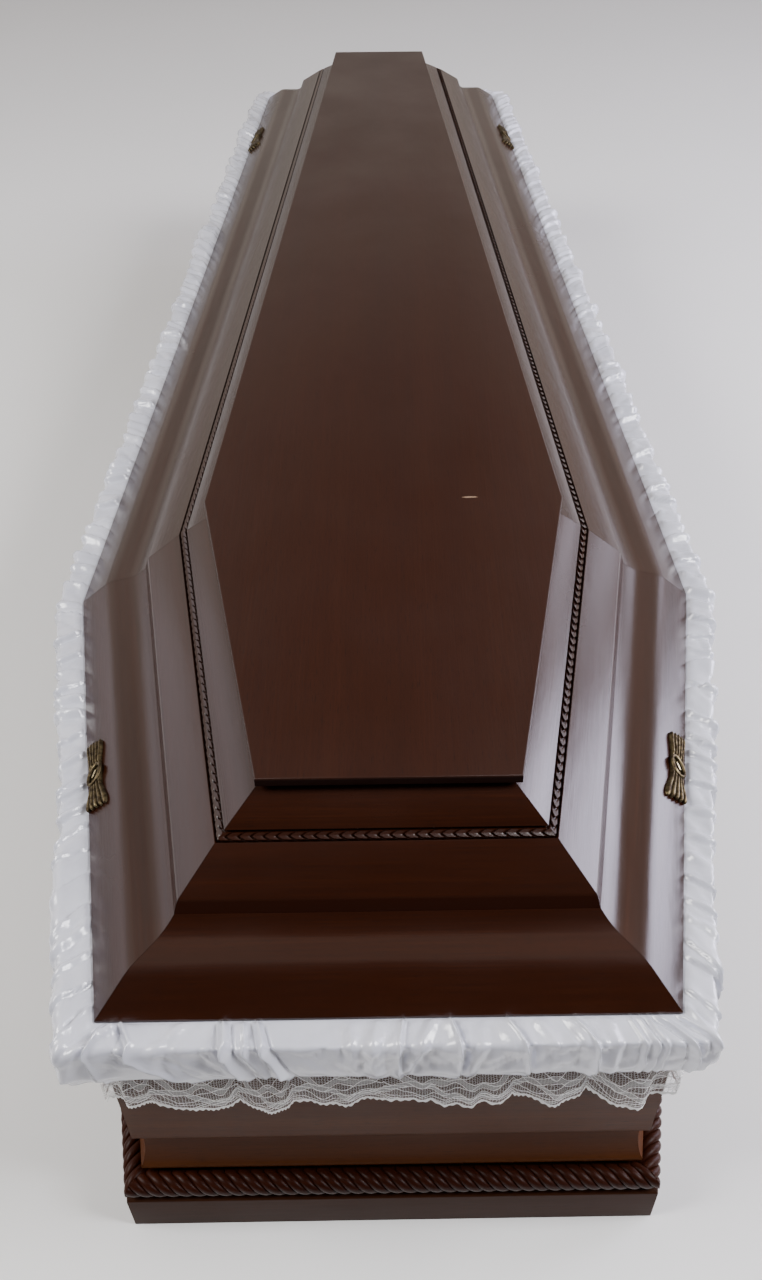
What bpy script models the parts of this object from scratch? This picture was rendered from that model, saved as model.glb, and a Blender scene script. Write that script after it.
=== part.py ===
# A wooden coffin with a stepped, panelled lid, a rope moulding at the foot of its walls,
# and a satin ruche with a lace edging on its rim. The lid has no hinge: it rests on the rim.
# Metres, +Z up. The origin is on the floor, in the middle of the coffin. The head end
# points to -Y and the foot end to +Y. The underside of the plinth is at z = 0.

import math

import bmesh
import bpy
from mathutils import Matrix, Vector

# Outline of the lid's rim seen from above. All other outlines run parallel to it.
RIM_LENGTH = 2.000
RIM_HEAD_WIDTH = 0.456
RIM_SHOULDER_WIDTH = 0.638
RIM_FOOT_WIDTH = 0.420
SHOULDER_FROM_HEAD = 0.510

# Clearance between pieces that touch
JOINT_GAP = 0.0003
# Small flat taken off the sharp edges
ARRIS = 0.0012

# Body of the coffin
PLINTH_HEIGHT = 0.050
PLINTH_REACH = 0.0232
BOTTOM_BOARD_THICKNESS = 0.018
COVE_HEIGHT = 0.0805
COVE_TOP_REACH = -0.0053
COVE_LIP_REACH = 0.0037
COVE_LIP_DROP = 0.0500
COVE_LIP_THICKNESS = 0.0020
COVE_HOLLOW = 0.0375
WALL_HEIGHT = 0.1935
WALL_THICKNESS = 0.020
WALL_REACH = 0.0032
WALL_EDGE_RADIUS = 0.008
RIM_RAIL_HEIGHT = 0.0417
RIM_RAIL_WIDTH = 0.0182
ROPE_DIAMETER = 0.0240
ROPE_STRAND_PITCH = 0.0122
ROPE_STRAND_DEPTH = 0.0032
ROPE_SEAT_WIDTH = 0.0160
# Where the rope's carved face begins, crests and ends, counted upwards from straight outwards
ROPE_TOP_ANGLE = math.radians(125)
ROPE_CREST_ANGLE = math.radians(40)
ROPE_BOTTOM_ANGLE = math.radians(-40)

# Cloth on the rim
SATIN_THICKNESS = 0.0015
SATIN_FULLNESS = 0.0035
SATIN_TURN_UNDER = 0.014
LACE_DEPTH = 0.088
LACE_THICKNESS = 0.0012
LACE_OFF_WALL = 0.0008
LACE_SCALLOP = 0.066
LACE_SCALLOP_RISE = 0.026
# Share of each scallop's width that its flat lowest part takes
LACE_SCALLOP_FLAT = 0.40

# Lid, from the rim inwards and upwards
LID_HEIGHT = 0.120
LID_RIM_EDGE = 0.0020
LID_SLOPE_RUN = 0.0253
LID_SLOPE_RISE = 0.0200
NOSING_RUN = 0.0130
NOSING_RISE = 0.0060
LEDGE_RUN = 0.0130
LEDGE_RISE = 0.0025
LID_COVE_RUN = 0.0200
LID_COVE_RISE = 0.0120
STEP_RUN = 0.0042
STEP_RISE = 0.0117
LOWER_PANEL_RUN = 0.0353
LOWER_PANEL_RISE = 0.0273
BRAID_RUN = 0.0085
BRAID_RISE = 0.0055
UPPER_PANEL_SLOPE = math.radians(32)
LID_RIM_WIDTH = 0.0310
MOULDING_SEAT_WIDTH = 0.0240
MOULDING_SEAT_EDGE = 0.0045
PANEL_SEAT_WIDTH = 0.0150
PANEL_TOP_SEAT_WIDTH = 0.0180
PANEL_TOP_EDGE = 0.0040
TOP_BOARD_THICKNESS = 0.008
TOP_BOARD_SETBACK = 0.1433
# The board was cut by eye: how far its corners stray outwards from an even outline
TOP_BOARD_SHOULDER_STRAY = 0.0028
TOP_BOARD_HEAD_LEFT_STRAY = -0.0050
TOP_BOARD_FOOT_RIGHT_STRAY = -0.0033

# Braid inlaid between the two slopes of each lid panel
BRAID_GROOVE_DEPTH = 0.0040
BRAID_PITCH = 0.0105
BRAID_RELIEF = 0.0014
BRAID_PROUD = 0.0008
BRAID_EDGE_SINK = 0.0018
# How far the crest and the valley of each scale run ahead of its foot, in pitches
BRAID_CREST_LEAD = -0.50
BRAID_VALLEY_LEAD = 0.42

# Cast plates that hold the lid screws
ORNAMENT_LENGTH = 0.084
ORNAMENT_WIDTH = 0.0250
ORNAMENT_THICKNESS = 0.0018
ORNAMENT_RIB = 0.0010
ORNAMENT_RING_HEIGHT = 0.0040
ORNAMENT_FLOOR = 0.0012
ORNAMENT_FROM_RIM = 0.0125
# Half of the plate's outline, from the middle of its narrow end to the middle of its wide
# end, past the rib ends, the waists and the bulge round the ring. The places are shares of
# half its length and half its width, and the other half mirrors them.
ORNAMENT_HALF_OUTLINE = (
    (-0.95, 0.0), (-1.0, 0.28), (-0.93, 0.52), (-0.97, 0.80), (-0.72, 0.60),
    (-0.45, 0.52), (0.0, 0.84), (0.43, 0.54), (0.72, 0.78), (0.93, 1.0),
    (0.90, 0.66), (1.0, 0.34), (0.95, 0.0),
)
# Points of the outline beyond this share of half its length are the ends of ribs
ORNAMENT_RIB_END = 0.96
# Length and width of the ring's crest and of its recess, as shares of the plate's
RING_CREST_SHARES = (0.32, 0.78)
RING_RECESS_SHARES = (0.26, 0.62)
SCREW_DIAMETER = 0.0098
SCREW_HEAD_THICKNESS = 0.0011
SCREW_BAR_LENGTH = 0.0080
SCREW_BAR_WIDTH = 0.0020
SCREW_BAR_HEIGHT = 0.0013
SCREW_BAR_TURN = math.radians(35)
NEAR_ORNAMENT_SHARE = 0.49
FAR_ORNAMENT_SHARE = 0.845

# Smoothness of the curved profiles
CURVE_STEPS = 4
SCREW_SIDES = 8
SMOOTH_ANGLE = math.radians(35)
# Points nearer than this are taken as one
MERGE_DISTANCE = 0.00001

SIDE_NAMES = ("head", "right_shoulder", "right_side", "foot", "left_side", "left_shoulder")
UP = Vector((0, 0, 1))

# Heights that follow from the sizes above
plinth_top = PLINTH_HEIGHT
cove_bottom = plinth_top + JOINT_GAP
cove_top = cove_bottom + COVE_HEIGHT
wall_bottom = cove_top + JOINT_GAP
wall_top = wall_bottom + WALL_HEIGHT
satin_top = wall_top + JOINT_GAP + SATIN_THICKNESS
lid_bottom = satin_top + JOINT_GAP
lid_top = lid_bottom + LID_HEIGHT
# Reaches, measured outwards from the lid's rim
wall_inside = WALL_REACH - WALL_THICKNESS
rail_inside = WALL_REACH + JOINT_GAP
rail_outside = rail_inside + RIM_RAIL_WIDTH
satin_outside = rail_outside + JOINT_GAP + SATIN_FULLNESS
rail_bottom = wall_top - RIM_RAIL_HEIGHT
satin_bottom = rail_bottom - JOINT_GAP - SATIN_THICKNESS


# Outlines and sides


def rim_corners():
    half = RIM_LENGTH / 2
    shoulder_y = -half + SHOULDER_FROM_HEAD
    right = [
        Vector((RIM_HEAD_WIDTH / 2, -half, 0)),
        Vector((RIM_SHOULDER_WIDTH / 2, shoulder_y, 0)),
        Vector((RIM_FOOT_WIDTH / 2, half, 0)),
    ]
    left = [Vector((-p.x, p.y, 0)) for p in right]
    return [left[0], right[0], right[1], right[2], left[2], left[1]]


def side_frame(index):
    # The start, direction, length and outward normal of one side of the rim
    corners = rim_corners()
    start = corners[index]
    end = corners[(index + 1) % len(corners)]
    along = (end - start).normalized()
    outward = along.cross(UP)
    return start, along, (end - start).length, outward


def mitre(index):
    # The way a corner moves when the outline grows by one metre
    normal_before = side_frame(index - 1)[3]
    normal_after = side_frame(index)[3]
    return (normal_before + normal_after) / (1 + normal_before.dot(normal_after))


def corner_point(index, reach, z):
    index %= len(SIDE_NAMES)
    return rim_corners()[index] + mitre(index) * reach + UP * z


def outline(reach, z=0.0):
    return [corner_point(i, reach, z) for i in range(len(SIDE_NAMES))]


def side_point(index, distance, reach, z):
    start, along, _, outward = side_frame(index)
    return start + along * distance + outward * reach + UP * z


def mitre_plane(index, corner):
    # The plane that one side's pieces are cut at, with its normal pointing out of them. It
    # stands half a joint's clearance back from the corner's own mitre.
    along = side_frame(index)[1]
    leaving = 1 if corner == index + 1 else -1
    corner %= len(SIDE_NAMES)
    normal = mitre(corner).cross(UP).normalized()
    if normal.dot(along) * leaving < 0:
        normal.negate()
    return corner_point(corner, 0, 0) - normal * (JOINT_GAP / 2), normal


def end_distance(index, corner, reach):
    # How far along its side a piece ends, at this reach
    place, normal = mitre_plane(index, corner)
    start, along, _, outward = side_frame(index)
    return (place - start - outward * reach).dot(normal) / along.dot(normal)


def curve_points(first, control, last, steps=CURVE_STEPS):
    # A smooth bend between two points that leaves and arrives towards the control point
    points = []
    for i in range(steps + 1):
        t = i / steps
        points.append(
            tuple(
                (1 - t) ** 2 * a + 2 * t * (1 - t) * b + t**2 * c
                for a, b, c in zip(first, control, last)
            )
        )
    return points


# Objects and materials


def clear_scene():
    for old in list(bpy.data.objects):
        bpy.data.objects.remove(old, do_unlink=True)


def finish_material(name, colour, roughness, metallic=0.0):
    material = bpy.data.materials.new(name)
    material.use_nodes = True
    shader = material.node_tree.nodes["Principled BSDF"]
    shader.inputs["Base Color"].default_value = (*colour, 1.0)
    shader.inputs["Roughness"].default_value = roughness
    shader.inputs["Metallic"].default_value = metallic
    return material


def add_object(name, bm, material, collection, smooth_angle=None):
    bmesh.ops.recalc_face_normals(bm, faces=bm.faces[:])
    mesh = bpy.data.meshes.new(name)
    bm.to_mesh(mesh)
    bm.free()
    if smooth_angle is not None:
        mesh.shade_smooth()
        mesh.set_sharp_from_angle(angle=smooth_angle)
    mesh.materials.append(material)
    piece = bpy.data.objects.new(name, mesh)
    collection.objects.link(piece)
    return piece


# Shapes that the pieces are made with


def mitred_rail(index, profile):
    # A length of moulding along one side, with its section given as (reach, z) points
    start, along, _, outward = side_frame(index)
    bm = bmesh.new()
    section = []
    for reach, z in profile:
        here = side_point(index, end_distance(index, index, reach), reach, z)
        section.append(bm.verts.new(here))
    grown = bmesh.ops.extrude_face_region(bm, geom=[bm.faces.new(section)])
    for vert in [v for v in grown["geom"] if isinstance(v, bmesh.types.BMVert)]:
        reach = (vert.co - start).dot(outward)
        before = end_distance(index, index, reach)
        vert.co += along * (end_distance(index, index + 1, reach) - before)
    return bm


def flat_board(corners, thickness, edge):
    # A board with the given outline, whose upper edges lose a small flat
    bm = bmesh.new()
    face = bm.faces.new([bm.verts.new(p) for p in corners])
    grown = bmesh.ops.extrude_face_region(bm, geom=[face])
    top = [v for v in grown["geom"] if isinstance(v, bmesh.types.BMVert)]
    bmesh.ops.translate(bm, verts=top, vec=UP * thickness)
    if edge > 0:
        level = max(v.co.z for v in top)
        near = MERGE_DISTANCE
        rim = [e for e in bm.edges if all(level - v.co.z < near for v in e.verts)]
        bmesh.ops.bevel(
            bm, geom=rim, offset=edge, segments=1, affect="EDGES", profile=0.5, material=-1
        )
    return bm


def cut_at_mitres(bm, index):
    # Cuts an overlong, open strip at the planes of its side's two mitres and closes it
    for corner in (index, index + 1):
        place, normal = mitre_plane(index, corner)
        cut = bmesh.ops.bisect_plane(
            bm,
            geom=bm.verts[:] + bm.edges[:] + bm.faces[:],
            dist=MERGE_DISTANCE / 10,
            plane_co=place,
            plane_no=normal,
            clear_outer=True,
        )
        loop = [e for e in cut["geom_cut"] if isinstance(e, bmesh.types.BMEdge)]
        bmesh.ops.edgeloop_fill(bm, edges=loop)
    bmesh.ops.dissolve_degenerate(bm, dist=MERGE_DISTANCE, edges=bm.edges[:])
    return bm


def relief_strip(index, pitch, upper, high, low, lower, back):
    # A carved strip along one side. Two straight edges, upper and lower, run beside a
    # middle line that rises to high and falls to low once in each pitch. Each is a reach,
    # a z and the share of a pitch by which it runs ahead. back holds the (reach, z) points
    # of the plain faces behind the carving.
    length = side_frame(index)[2]
    margin = 2 * (abs(upper[0]) + abs(lower[0])) + 2 * pitch
    first = math.floor(-margin / pitch)
    last = math.ceil((length + margin) / pitch)
    bm = bmesh.new()

    def vertex(step, place):
        return bm.verts.new(side_point(index, (step + place[2]) * pitch, place[0], place[1]))

    steps = range(first, last + 1)
    edge_a = [vertex(k, upper) for k in steps]
    edge_b = [vertex(k, lower) for k in steps]
    middle = []
    for k in steps:
        middle += [vertex(k, high), vertex(k, low)]
    for edge in (edge_a, edge_b):
        for k in range(1, len(edge)):
            bm.faces.new((edge[k], middle[2 * k - 1], middle[2 * k]))
            bm.faces.new((edge[k - 1], middle[2 * k - 2], middle[2 * k - 1]))
            bm.faces.new((edge[k - 1], middle[2 * k - 1], edge[k]))
    ends = []
    for reach, z in back:
        ends.append(
            [bm.verts.new(side_point(index, k * pitch, reach, z)) for k in (first, last)]
        )
    bm.faces.new(edge_a + ends[0][::-1])
    for one, two in zip(ends, ends[1:]):
        bm.faces.new((one[0], one[1], two[1], two[0]))
    bm.faces.new(edge_b + ends[-1][::-1])
    return cut_at_mitres(bm, index)


# Sections of the mouldings, as (reach, z) points


def plinth_section():
    outside = PLINTH_REACH
    return [
        (wall_inside, 0),
        (outside, 0),
        (outside, plinth_top - ARRIS),
        (outside - ARRIS, plinth_top),
        (wall_inside, plinth_top),
    ]


def cove_section():
    lip = cove_top - COVE_LIP_DROP
    back = rope_back() - JOINT_GAP
    hollow = curve_points(
        (COVE_TOP_REACH, cove_top), (COVE_TOP_REACH, cove_top - COVE_HOLLOW), (COVE_LIP_REACH, lip)
    )
    return [
        (wall_inside, cove_bottom),
        (back, cove_bottom),
        (back, lip - 2 * COVE_LIP_THICKNESS),
        (COVE_LIP_REACH, lip - COVE_LIP_THICKNESS),
        *hollow[::-1],
        (wall_inside, cove_top),
    ]


def wall_section():
    radius = WALL_EDGE_RADIUS
    rounding = []
    for i in range(CURVE_STEPS + 1):
        turn = math.pi / 2 * i / CURVE_STEPS
        rounding.append(
            (
                WALL_REACH - radius + radius * math.sin(turn),
                wall_bottom + radius - radius * math.cos(turn),
            )
        )
    return [(wall_inside, wall_bottom), *rounding, (WALL_REACH, wall_top), (wall_inside, wall_top)]


def rim_rail_section():
    return [
        (rail_inside, rail_bottom),
        (rail_outside, rail_bottom),
        (rail_outside, wall_top),
        (rail_inside, wall_top),
    ]


def satin_section():
    # The ruche lies over the wall and the rail, hangs down outside and turns under
    under = rail_bottom - JOINT_GAP
    return [
        (wall_inside + SATIN_THICKNESS, satin_top - SATIN_THICKNESS),
        (rail_outside + JOINT_GAP, satin_top - SATIN_THICKNESS),
        (rail_outside + JOINT_GAP, under),
        (rail_outside - SATIN_TURN_UNDER, under),
        (rail_outside - SATIN_TURN_UNDER, satin_bottom),
        (satin_outside - SATIN_THICKNESS, satin_bottom),
        (satin_outside, satin_bottom + SATIN_THICKNESS),
        (satin_outside, satin_top - SATIN_THICKNESS),
        (satin_outside - SATIN_THICKNESS, satin_top),
        (wall_inside + SATIN_THICKNESS, satin_top),
    ]


def rope_back():
    return PLINTH_REACH - ROPE_DIAMETER


def lid_moulding_points():
    # The moulding's outer face from the rim up to the foot of the panel
    rim_top = lid_bottom + LID_RIM_EDGE
    slope_top = (-LID_SLOPE_RUN, rim_top + LID_SLOPE_RISE)
    nosing_end = (slope_top[0] - NOSING_RUN, slope_top[1] + NOSING_RISE)
    ledge_end = (nosing_end[0] - LEDGE_RUN, nosing_end[1] + LEDGE_RISE)
    cove_end = (ledge_end[0] - LID_COVE_RUN, ledge_end[1] + LID_COVE_RISE)
    slope = LID_SLOPE_RISE / LID_SLOPE_RUN
    ledge = LEDGE_RISE / LEDGE_RUN
    # The nosing's control point is where the slope and the ledge would meet
    meeting = (nosing_end[1] - slope_top[1] - ledge * NOSING_RUN) / (slope - ledge)
    nosing_control = (slope_top[0] - meeting, slope_top[1] + slope * meeting)
    cove_control = (ledge_end[0] - LID_COVE_RUN / 2, ledge_end[1] + ledge * LID_COVE_RUN / 2)
    return [
        (0.0, lid_bottom),
        (0.0, rim_top),
        *curve_points(slope_top, nosing_control, nosing_end),
        *curve_points(ledge_end, cove_control, cove_end),
    ]


def panel_foot():
    # The outer lower edge of a lid panel, which seats on the moulding
    reach, z = lid_moulding_points()[-1]
    return reach, z + JOINT_GAP


def panel_edges():
    # The arris above the step, and the lower and upper edges of the braid's groove
    foot = panel_foot()
    arris = (foot[0] - STEP_RUN, foot[1] + STEP_RISE)
    groove_low = (arris[0] - LOWER_PANEL_RUN, arris[1] + LOWER_PANEL_RISE)
    groove_high = (groove_low[0] - BRAID_RUN, groove_low[1] + BRAID_RISE)
    return arris, groove_low, groove_high


def braid_frame():
    # Directions across the braid and out of it, as (reach, z), and the groove's width
    width = math.hypot(BRAID_RUN, BRAID_RISE)
    across = (-BRAID_RUN / width, BRAID_RISE / width)
    out = (BRAID_RISE / width, BRAID_RUN / width)
    return across, out, width


def lid_moulding_section():
    outer = lid_moulding_points()
    seat = outer[-1]
    seat_inside = seat[0] - MOULDING_SEAT_WIDTH
    return [
        (-LID_RIM_WIDTH, lid_bottom),
        *outer,
        (seat_inside, seat[1]),
        (seat_inside, seat[1] - MOULDING_SEAT_EDGE),
    ]


def lid_panel_section():
    foot = panel_foot()
    arris, groove_low, groove_high = panel_edges()
    out = braid_frame()[1]
    sink = [(p[0] - out[0] * BRAID_GROOVE_DEPTH, p[1] - out[1] * BRAID_GROOVE_DEPTH)
            for p in (groove_low, groove_high)]
    top = lid_top - TOP_BOARD_THICKNESS - JOINT_GAP
    top_reach = groove_high[0] - (top - groove_high[1]) / math.tan(UPPER_PANEL_SLOPE)
    step = math.hypot(STEP_RUN, STEP_RISE)
    face = math.hypot(LOWER_PANEL_RUN, LOWER_PANEL_RISE)
    return [
        (foot[0] - PANEL_SEAT_WIDTH, foot[1]),
        foot,
        (arris[0] + STEP_RUN / step * ARRIS, arris[1] - STEP_RISE / step * ARRIS),
        (arris[0] - LOWER_PANEL_RUN / face * ARRIS, arris[1] + LOWER_PANEL_RISE / face * ARRIS),
        groove_low,
        *sink,
        groove_high,
        (top_reach, top),
        (top_reach - PANEL_TOP_SEAT_WIDTH, top),
        (top_reach - PANEL_TOP_SEAT_WIDTH, top - PANEL_TOP_EDGE),
    ]


# Pieces


def top_board_outline():
    corners = outline(-TOP_BOARD_SETBACK, lid_top - TOP_BOARD_THICKNESS)
    strays = (
        -TOP_BOARD_HEAD_LEFT_STRAY,
        0.0,
        TOP_BOARD_SHOULDER_STRAY,
        TOP_BOARD_FOOT_RIGHT_STRAY,
        0.0,
        -TOP_BOARD_SHOULDER_STRAY,
    )
    for corner, stray in zip(corners, strays):
        corner.x += stray
    return corners


def braid(index):
    across, out, width = braid_frame()
    base = panel_edges()[1]
    half = width / 2 - JOINT_GAP

    def place(share, depth):
        # A point on the braid's section: share of its half width, depth below the panels
        step = width / 2 + share * half
        return tuple(base[i] + across[i] * step - out[i] * depth for i in (0, 1))

    floor = BRAID_GROOVE_DEPTH - JOINT_GAP
    return relief_strip(
        index,
        BRAID_PITCH,
        upper=(*place(1, BRAID_EDGE_SINK), 0.0),
        high=(*place(0, -BRAID_PROUD), BRAID_CREST_LEAD),
        low=(*place(0, BRAID_RELIEF - BRAID_PROUD), BRAID_VALLEY_LEAD),
        lower=(*place(-1, BRAID_EDGE_SINK), 0.0),
        back=[place(1, floor), place(-1, floor)],
    )


def rope(index):
    radius = ROPE_DIAMETER / 2
    centre = (rope_back() + radius, cove_bottom + radius)
    # A strand runs on by one pitch in each quarter of a turn
    lead = 1 / (math.pi / 2)

    def place(angle, sink=0.0):
        size = radius - sink
        return centre[0] + size * math.cos(angle), centre[1] + size * math.sin(angle)

    return relief_strip(
        index,
        ROPE_STRAND_PITCH,
        upper=(*place(ROPE_TOP_ANGLE), (ROPE_CREST_ANGLE - ROPE_TOP_ANGLE) * lead),
        high=(*place(ROPE_CREST_ANGLE), 0.0),
        low=(*place(ROPE_CREST_ANGLE, ROPE_STRAND_DEPTH), 0.5),
        lower=(*place(ROPE_BOTTOM_ANGLE), (ROPE_CREST_ANGLE - ROPE_BOTTOM_ANGLE) * lead),
        back=[
            (rope_back(), centre[1]),
            (rope_back(), cove_bottom),
            (rope_back() + ROPE_SEAT_WIDTH, cove_bottom),
        ],
    )


def satin_ruche():
    # One ring of the section, carried round all six corners
    section = satin_section()
    count = len(SIDE_NAMES)
    bm = bmesh.new()
    rings = [[bm.verts.new(corner_point(i, r, z)) for r, z in section] for i in range(count)]
    for i in range(count):
        here, there = rings[i], rings[(i + 1) % count]
        for j in range(len(section)):
            k = (j + 1) % len(section)
            bm.faces.new((here[j], there[j], there[k], here[k]))
    return bm


def lace_edging():
    # A thin strip that hangs from the rail in front of the wall, its lower edge in scallops
    inside = WALL_REACH + LACE_OFF_WALL
    outside = inside + LACE_THICKNESS
    top = rail_bottom - JOINT_GAP
    low = top - LACE_DEPTH
    high = low + LACE_SCALLOP_RISE
    layers = (outside, inside)
    bm = bmesh.new()
    sides = len(SIDE_NAMES)
    tops = [[bm.verts.new(corner_point(i, r, top)) for r in layers] for i in range(sides)]
    cusps = [[bm.verts.new(corner_point(i, r, high)) for r in layers] for i in range(sides)]
    low_start = (1 - LACE_SCALLOP_FLAT) / 2
    for i in range(sides):
        j = (i + 1) % sides
        length = (corner_point(j, outside, 0) - corner_point(i, outside, 0)).length
        scallops = max(1, round(length / LACE_SCALLOP))
        edges = ([], [])
        for layer in (0, 1):
            start, end = cusps[i][layer], cusps[j][layer]
            edges[layer].append(start)
            for k in range(scallops):
                for share, z in ((low_start, low), (1 - low_start, low), (1, high)):
                    if share == 1 and k == scallops - 1:
                        edges[layer].append(end)
                        continue
                    spot = start.co.lerp(end.co, (k + share) / scallops)
                    edges[layer].append(bm.verts.new((spot.x, spot.y, z)))
            bm.faces.new([tops[i][layer], *edges[layer], tops[j][layer]])
        bm.faces.new((tops[i][0], tops[j][0], tops[j][1], tops[i][1]))
        for (a, b), (c, d) in zip(zip(edges[0], edges[1]), zip(edges[0][1:], edges[1][1:])):
            bm.faces.new((a, c, d, b))
    return bm


def ornament_outline():
    half = [
        (x * ORNAMENT_LENGTH / 2, y * ORNAMENT_WIDTH / 2) for x, y in ORNAMENT_HALF_OUTLINE
    ]
    return half + [(x, -y) for x, y in half[-2:0:-1]]


def ornament():
    # A plate of ribs tied at the middle by an oval ring, which holds the screw. Closed loops
    # run from the outline inwards: the rim, the crest of the ring, and its recess.
    rim = ornament_outline()
    half_width = ORNAMENT_WIDTH / 2
    half_length = ORNAMENT_LENGTH / 2
    loops = (
        (*RING_CREST_SHARES, ORNAMENT_RING_HEIGHT),
        (*RING_RECESS_SHARES, ORNAMENT_FLOOR),
    )
    bm = bmesh.new()
    floor = bm.faces.new([bm.verts.new((x, y, 0)) for x, y in rim])
    edge_loop = list(floor.edges)
    grown = bmesh.ops.extrude_edge_only(bm, edges=edge_loop)
    ring = [v for v in grown["geom"] if isinstance(v, bmesh.types.BMVert)]
    for vert in ring:
        rib = ORNAMENT_RIB if abs(vert.co.x) > ORNAMENT_RIB_END * half_length else 0
        vert.co.z = ORNAMENT_THICKNESS + rib
    for share_x, share_y, height in loops:
        edge_loop = [e for e in grown["geom"] if isinstance(e, bmesh.types.BMEdge)
                     and all(v in ring for v in e.verts)]
        grown = bmesh.ops.extrude_edge_only(bm, edges=edge_loop)
        ring = [v for v in grown["geom"] if isinstance(v, bmesh.types.BMVert)]
        for vert in ring:
            turn = math.atan2(vert.co.y / half_width, vert.co.x / half_length)
            vert.co.x = share_x * half_length * math.cos(turn)
            vert.co.y = share_y * half_width * math.sin(turn)
            vert.co.z = height
    last = [e for e in grown["geom"] if isinstance(e, bmesh.types.BMEdge)
            and all(v in ring for v in e.verts)]
    bmesh.ops.edgeloop_fill(bm, edges=last)
    return bm


def screw():
    # A flat round head
    radius = SCREW_DIAMETER / 2
    bottom = ORNAMENT_FLOOR + JOINT_GAP
    middle = bottom + SCREW_HEAD_THICKNESS / 2
    bm = bmesh.new()
    bmesh.ops.create_cone(
        bm, cap_ends=True, segments=SCREW_SIDES, radius1=radius, radius2=radius,
        depth=SCREW_HEAD_THICKNESS, matrix=Matrix.Translation((0, 0, middle)),
    )
    return bm


def screw_bar(turn):
    # The raised bar across a screw's head. It reaches down to the middle of the head.
    height = SCREW_HEAD_THICKNESS / 2 + SCREW_BAR_HEIGHT
    low = ORNAMENT_FLOOR + JOINT_GAP + SCREW_HEAD_THICKNESS / 2
    size = Vector((SCREW_BAR_LENGTH, SCREW_BAR_WIDTH, height))
    bm = bmesh.new()
    place = Matrix.Translation((0, 0, low + height / 2)) @ Matrix.Rotation(turn, 4, "Z")
    bmesh.ops.create_cube(bm, size=1, matrix=place @ Matrix.Diagonal((*size, 1)))
    return bm


def ornament_place(index, share):
    # The middle of an ornament's back, on the outer slope of one of the lid's mouldings,
    # with the ornament's wide end towards the head
    along, _, outward = side_frame(index)[1:]
    face = math.hypot(LID_SLOPE_RUN, LID_SLOPE_RISE)
    up_slope = (-LID_SLOPE_RUN / face, LID_SLOPE_RISE / face)
    out = (up_slope[1], -up_slope[0])
    reach = up_slope[0] * ORNAMENT_FROM_RIM + out[0] * JOINT_GAP
    z = lid_bottom + LID_RIM_EDGE + up_slope[1] * ORNAMENT_FROM_RIM + out[1] * JOINT_GAP
    across = outward * up_slope[0] + UP * up_slope[1]
    normal = outward * out[0] + UP * out[1]
    if along.y > 0:
        along = -along
        across = -across
    place = Matrix((along, across, normal)).transposed().to_4x4()
    place.translation = side_point(index, share * side_frame(index)[2], reach, z)
    return place


def build():
    clear_scene()
    scene = bpy.context.scene.collection
    coffin = bpy.data.collections.new("wooden_coffin")
    scene.children.link(coffin)
    cutters = bpy.data.collections.new("cutters")
    scene.children.link(cutters)
    top_wood = finish_material("walnut_stained_top_board", (0.045, 0.022, 0.013), 0.42)
    lid_wood = finish_material("walnut_stained_lid_wood", (0.040, 0.019, 0.013), 0.34)
    body_wood = finish_material("walnut_stained_body_wood", (0.060, 0.024, 0.012), 0.40)
    carved_wood = finish_material("walnut_stained_carving", (0.028, 0.012, 0.009), 0.36)
    satin = finish_material("white_satin", (0.82, 0.83, 0.86), 0.30)
    lace = finish_material("white_lace", (0.80, 0.80, 0.80), 0.70)
    brass = finish_material("aged_brass", (0.20, 0.15, 0.07), 0.45, 1.0)

    rails = (
        ("plinth", plinth_section(), body_wood),
        ("cove_moulding", cove_section(), body_wood),
        ("wall_board", wall_section(), body_wood),
        ("rim_rail", rim_rail_section(), body_wood),
        ("lid_moulding", lid_moulding_section(), lid_wood),
        ("lid_panel", lid_panel_section(), lid_wood),
    )
    for index, side in enumerate(SIDE_NAMES):
        for piece, section, material in rails:
            rail = mitred_rail(index, section)
            add_object(f"{piece}_{side}", rail, material, coffin, SMOOTH_ANGLE)
        add_object(f"lid_braid_{side}", braid(index), carved_wood, coffin)
        add_object(f"rope_moulding_{side}", rope(index), carved_wood, coffin)

    floor = flat_board(outline(wall_inside - JOINT_GAP), BOTTOM_BOARD_THICKNESS, 0)
    add_object("bottom_board", floor, body_wood, coffin)
    board = flat_board(top_board_outline(), TOP_BOARD_THICKNESS, ARRIS)
    add_object("lid_top_board", board, top_wood, coffin)
    add_object("satin_ruche", satin_ruche(), satin, coffin)
    add_object("lace_edging", lace_edging(), lace, coffin)

    places = (
        ("right_near", 1, NEAR_ORNAMENT_SHARE),
        ("right_far", 2, FAR_ORNAMENT_SHARE),
        ("left_far", 4, 1 - FAR_ORNAMENT_SHARE),
        ("left_near", 5, 1 - NEAR_ORNAMENT_SHARE),
    )
    for where, index, share in places:
        place = ornament_place(index, share)
        plate = add_object(f"ornament_{where}", ornament(), brass, coffin)
        plate.matrix_world = place
        head = add_object(f"lid_screw_{where}", screw(), brass, coffin)
        head.matrix_world = place
        turn = SCREW_BAR_TURN if where.startswith("right") else -SCREW_BAR_TURN
        bar = add_object(f"screw_bar_{where}", screw_bar(turn), brass, cutters)
        bar.matrix_world = place
        bar.hide_render = True
        bar.display_type = "WIRE"
        joined = head.modifiers.new("bar", "BOOLEAN")
        joined.operation = "UNION"
        joined.object = bar


build()
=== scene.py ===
import math
import random

import bmesh
import bpy
import numpy as np
from mathutils import Matrix, Vector, noise


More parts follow.
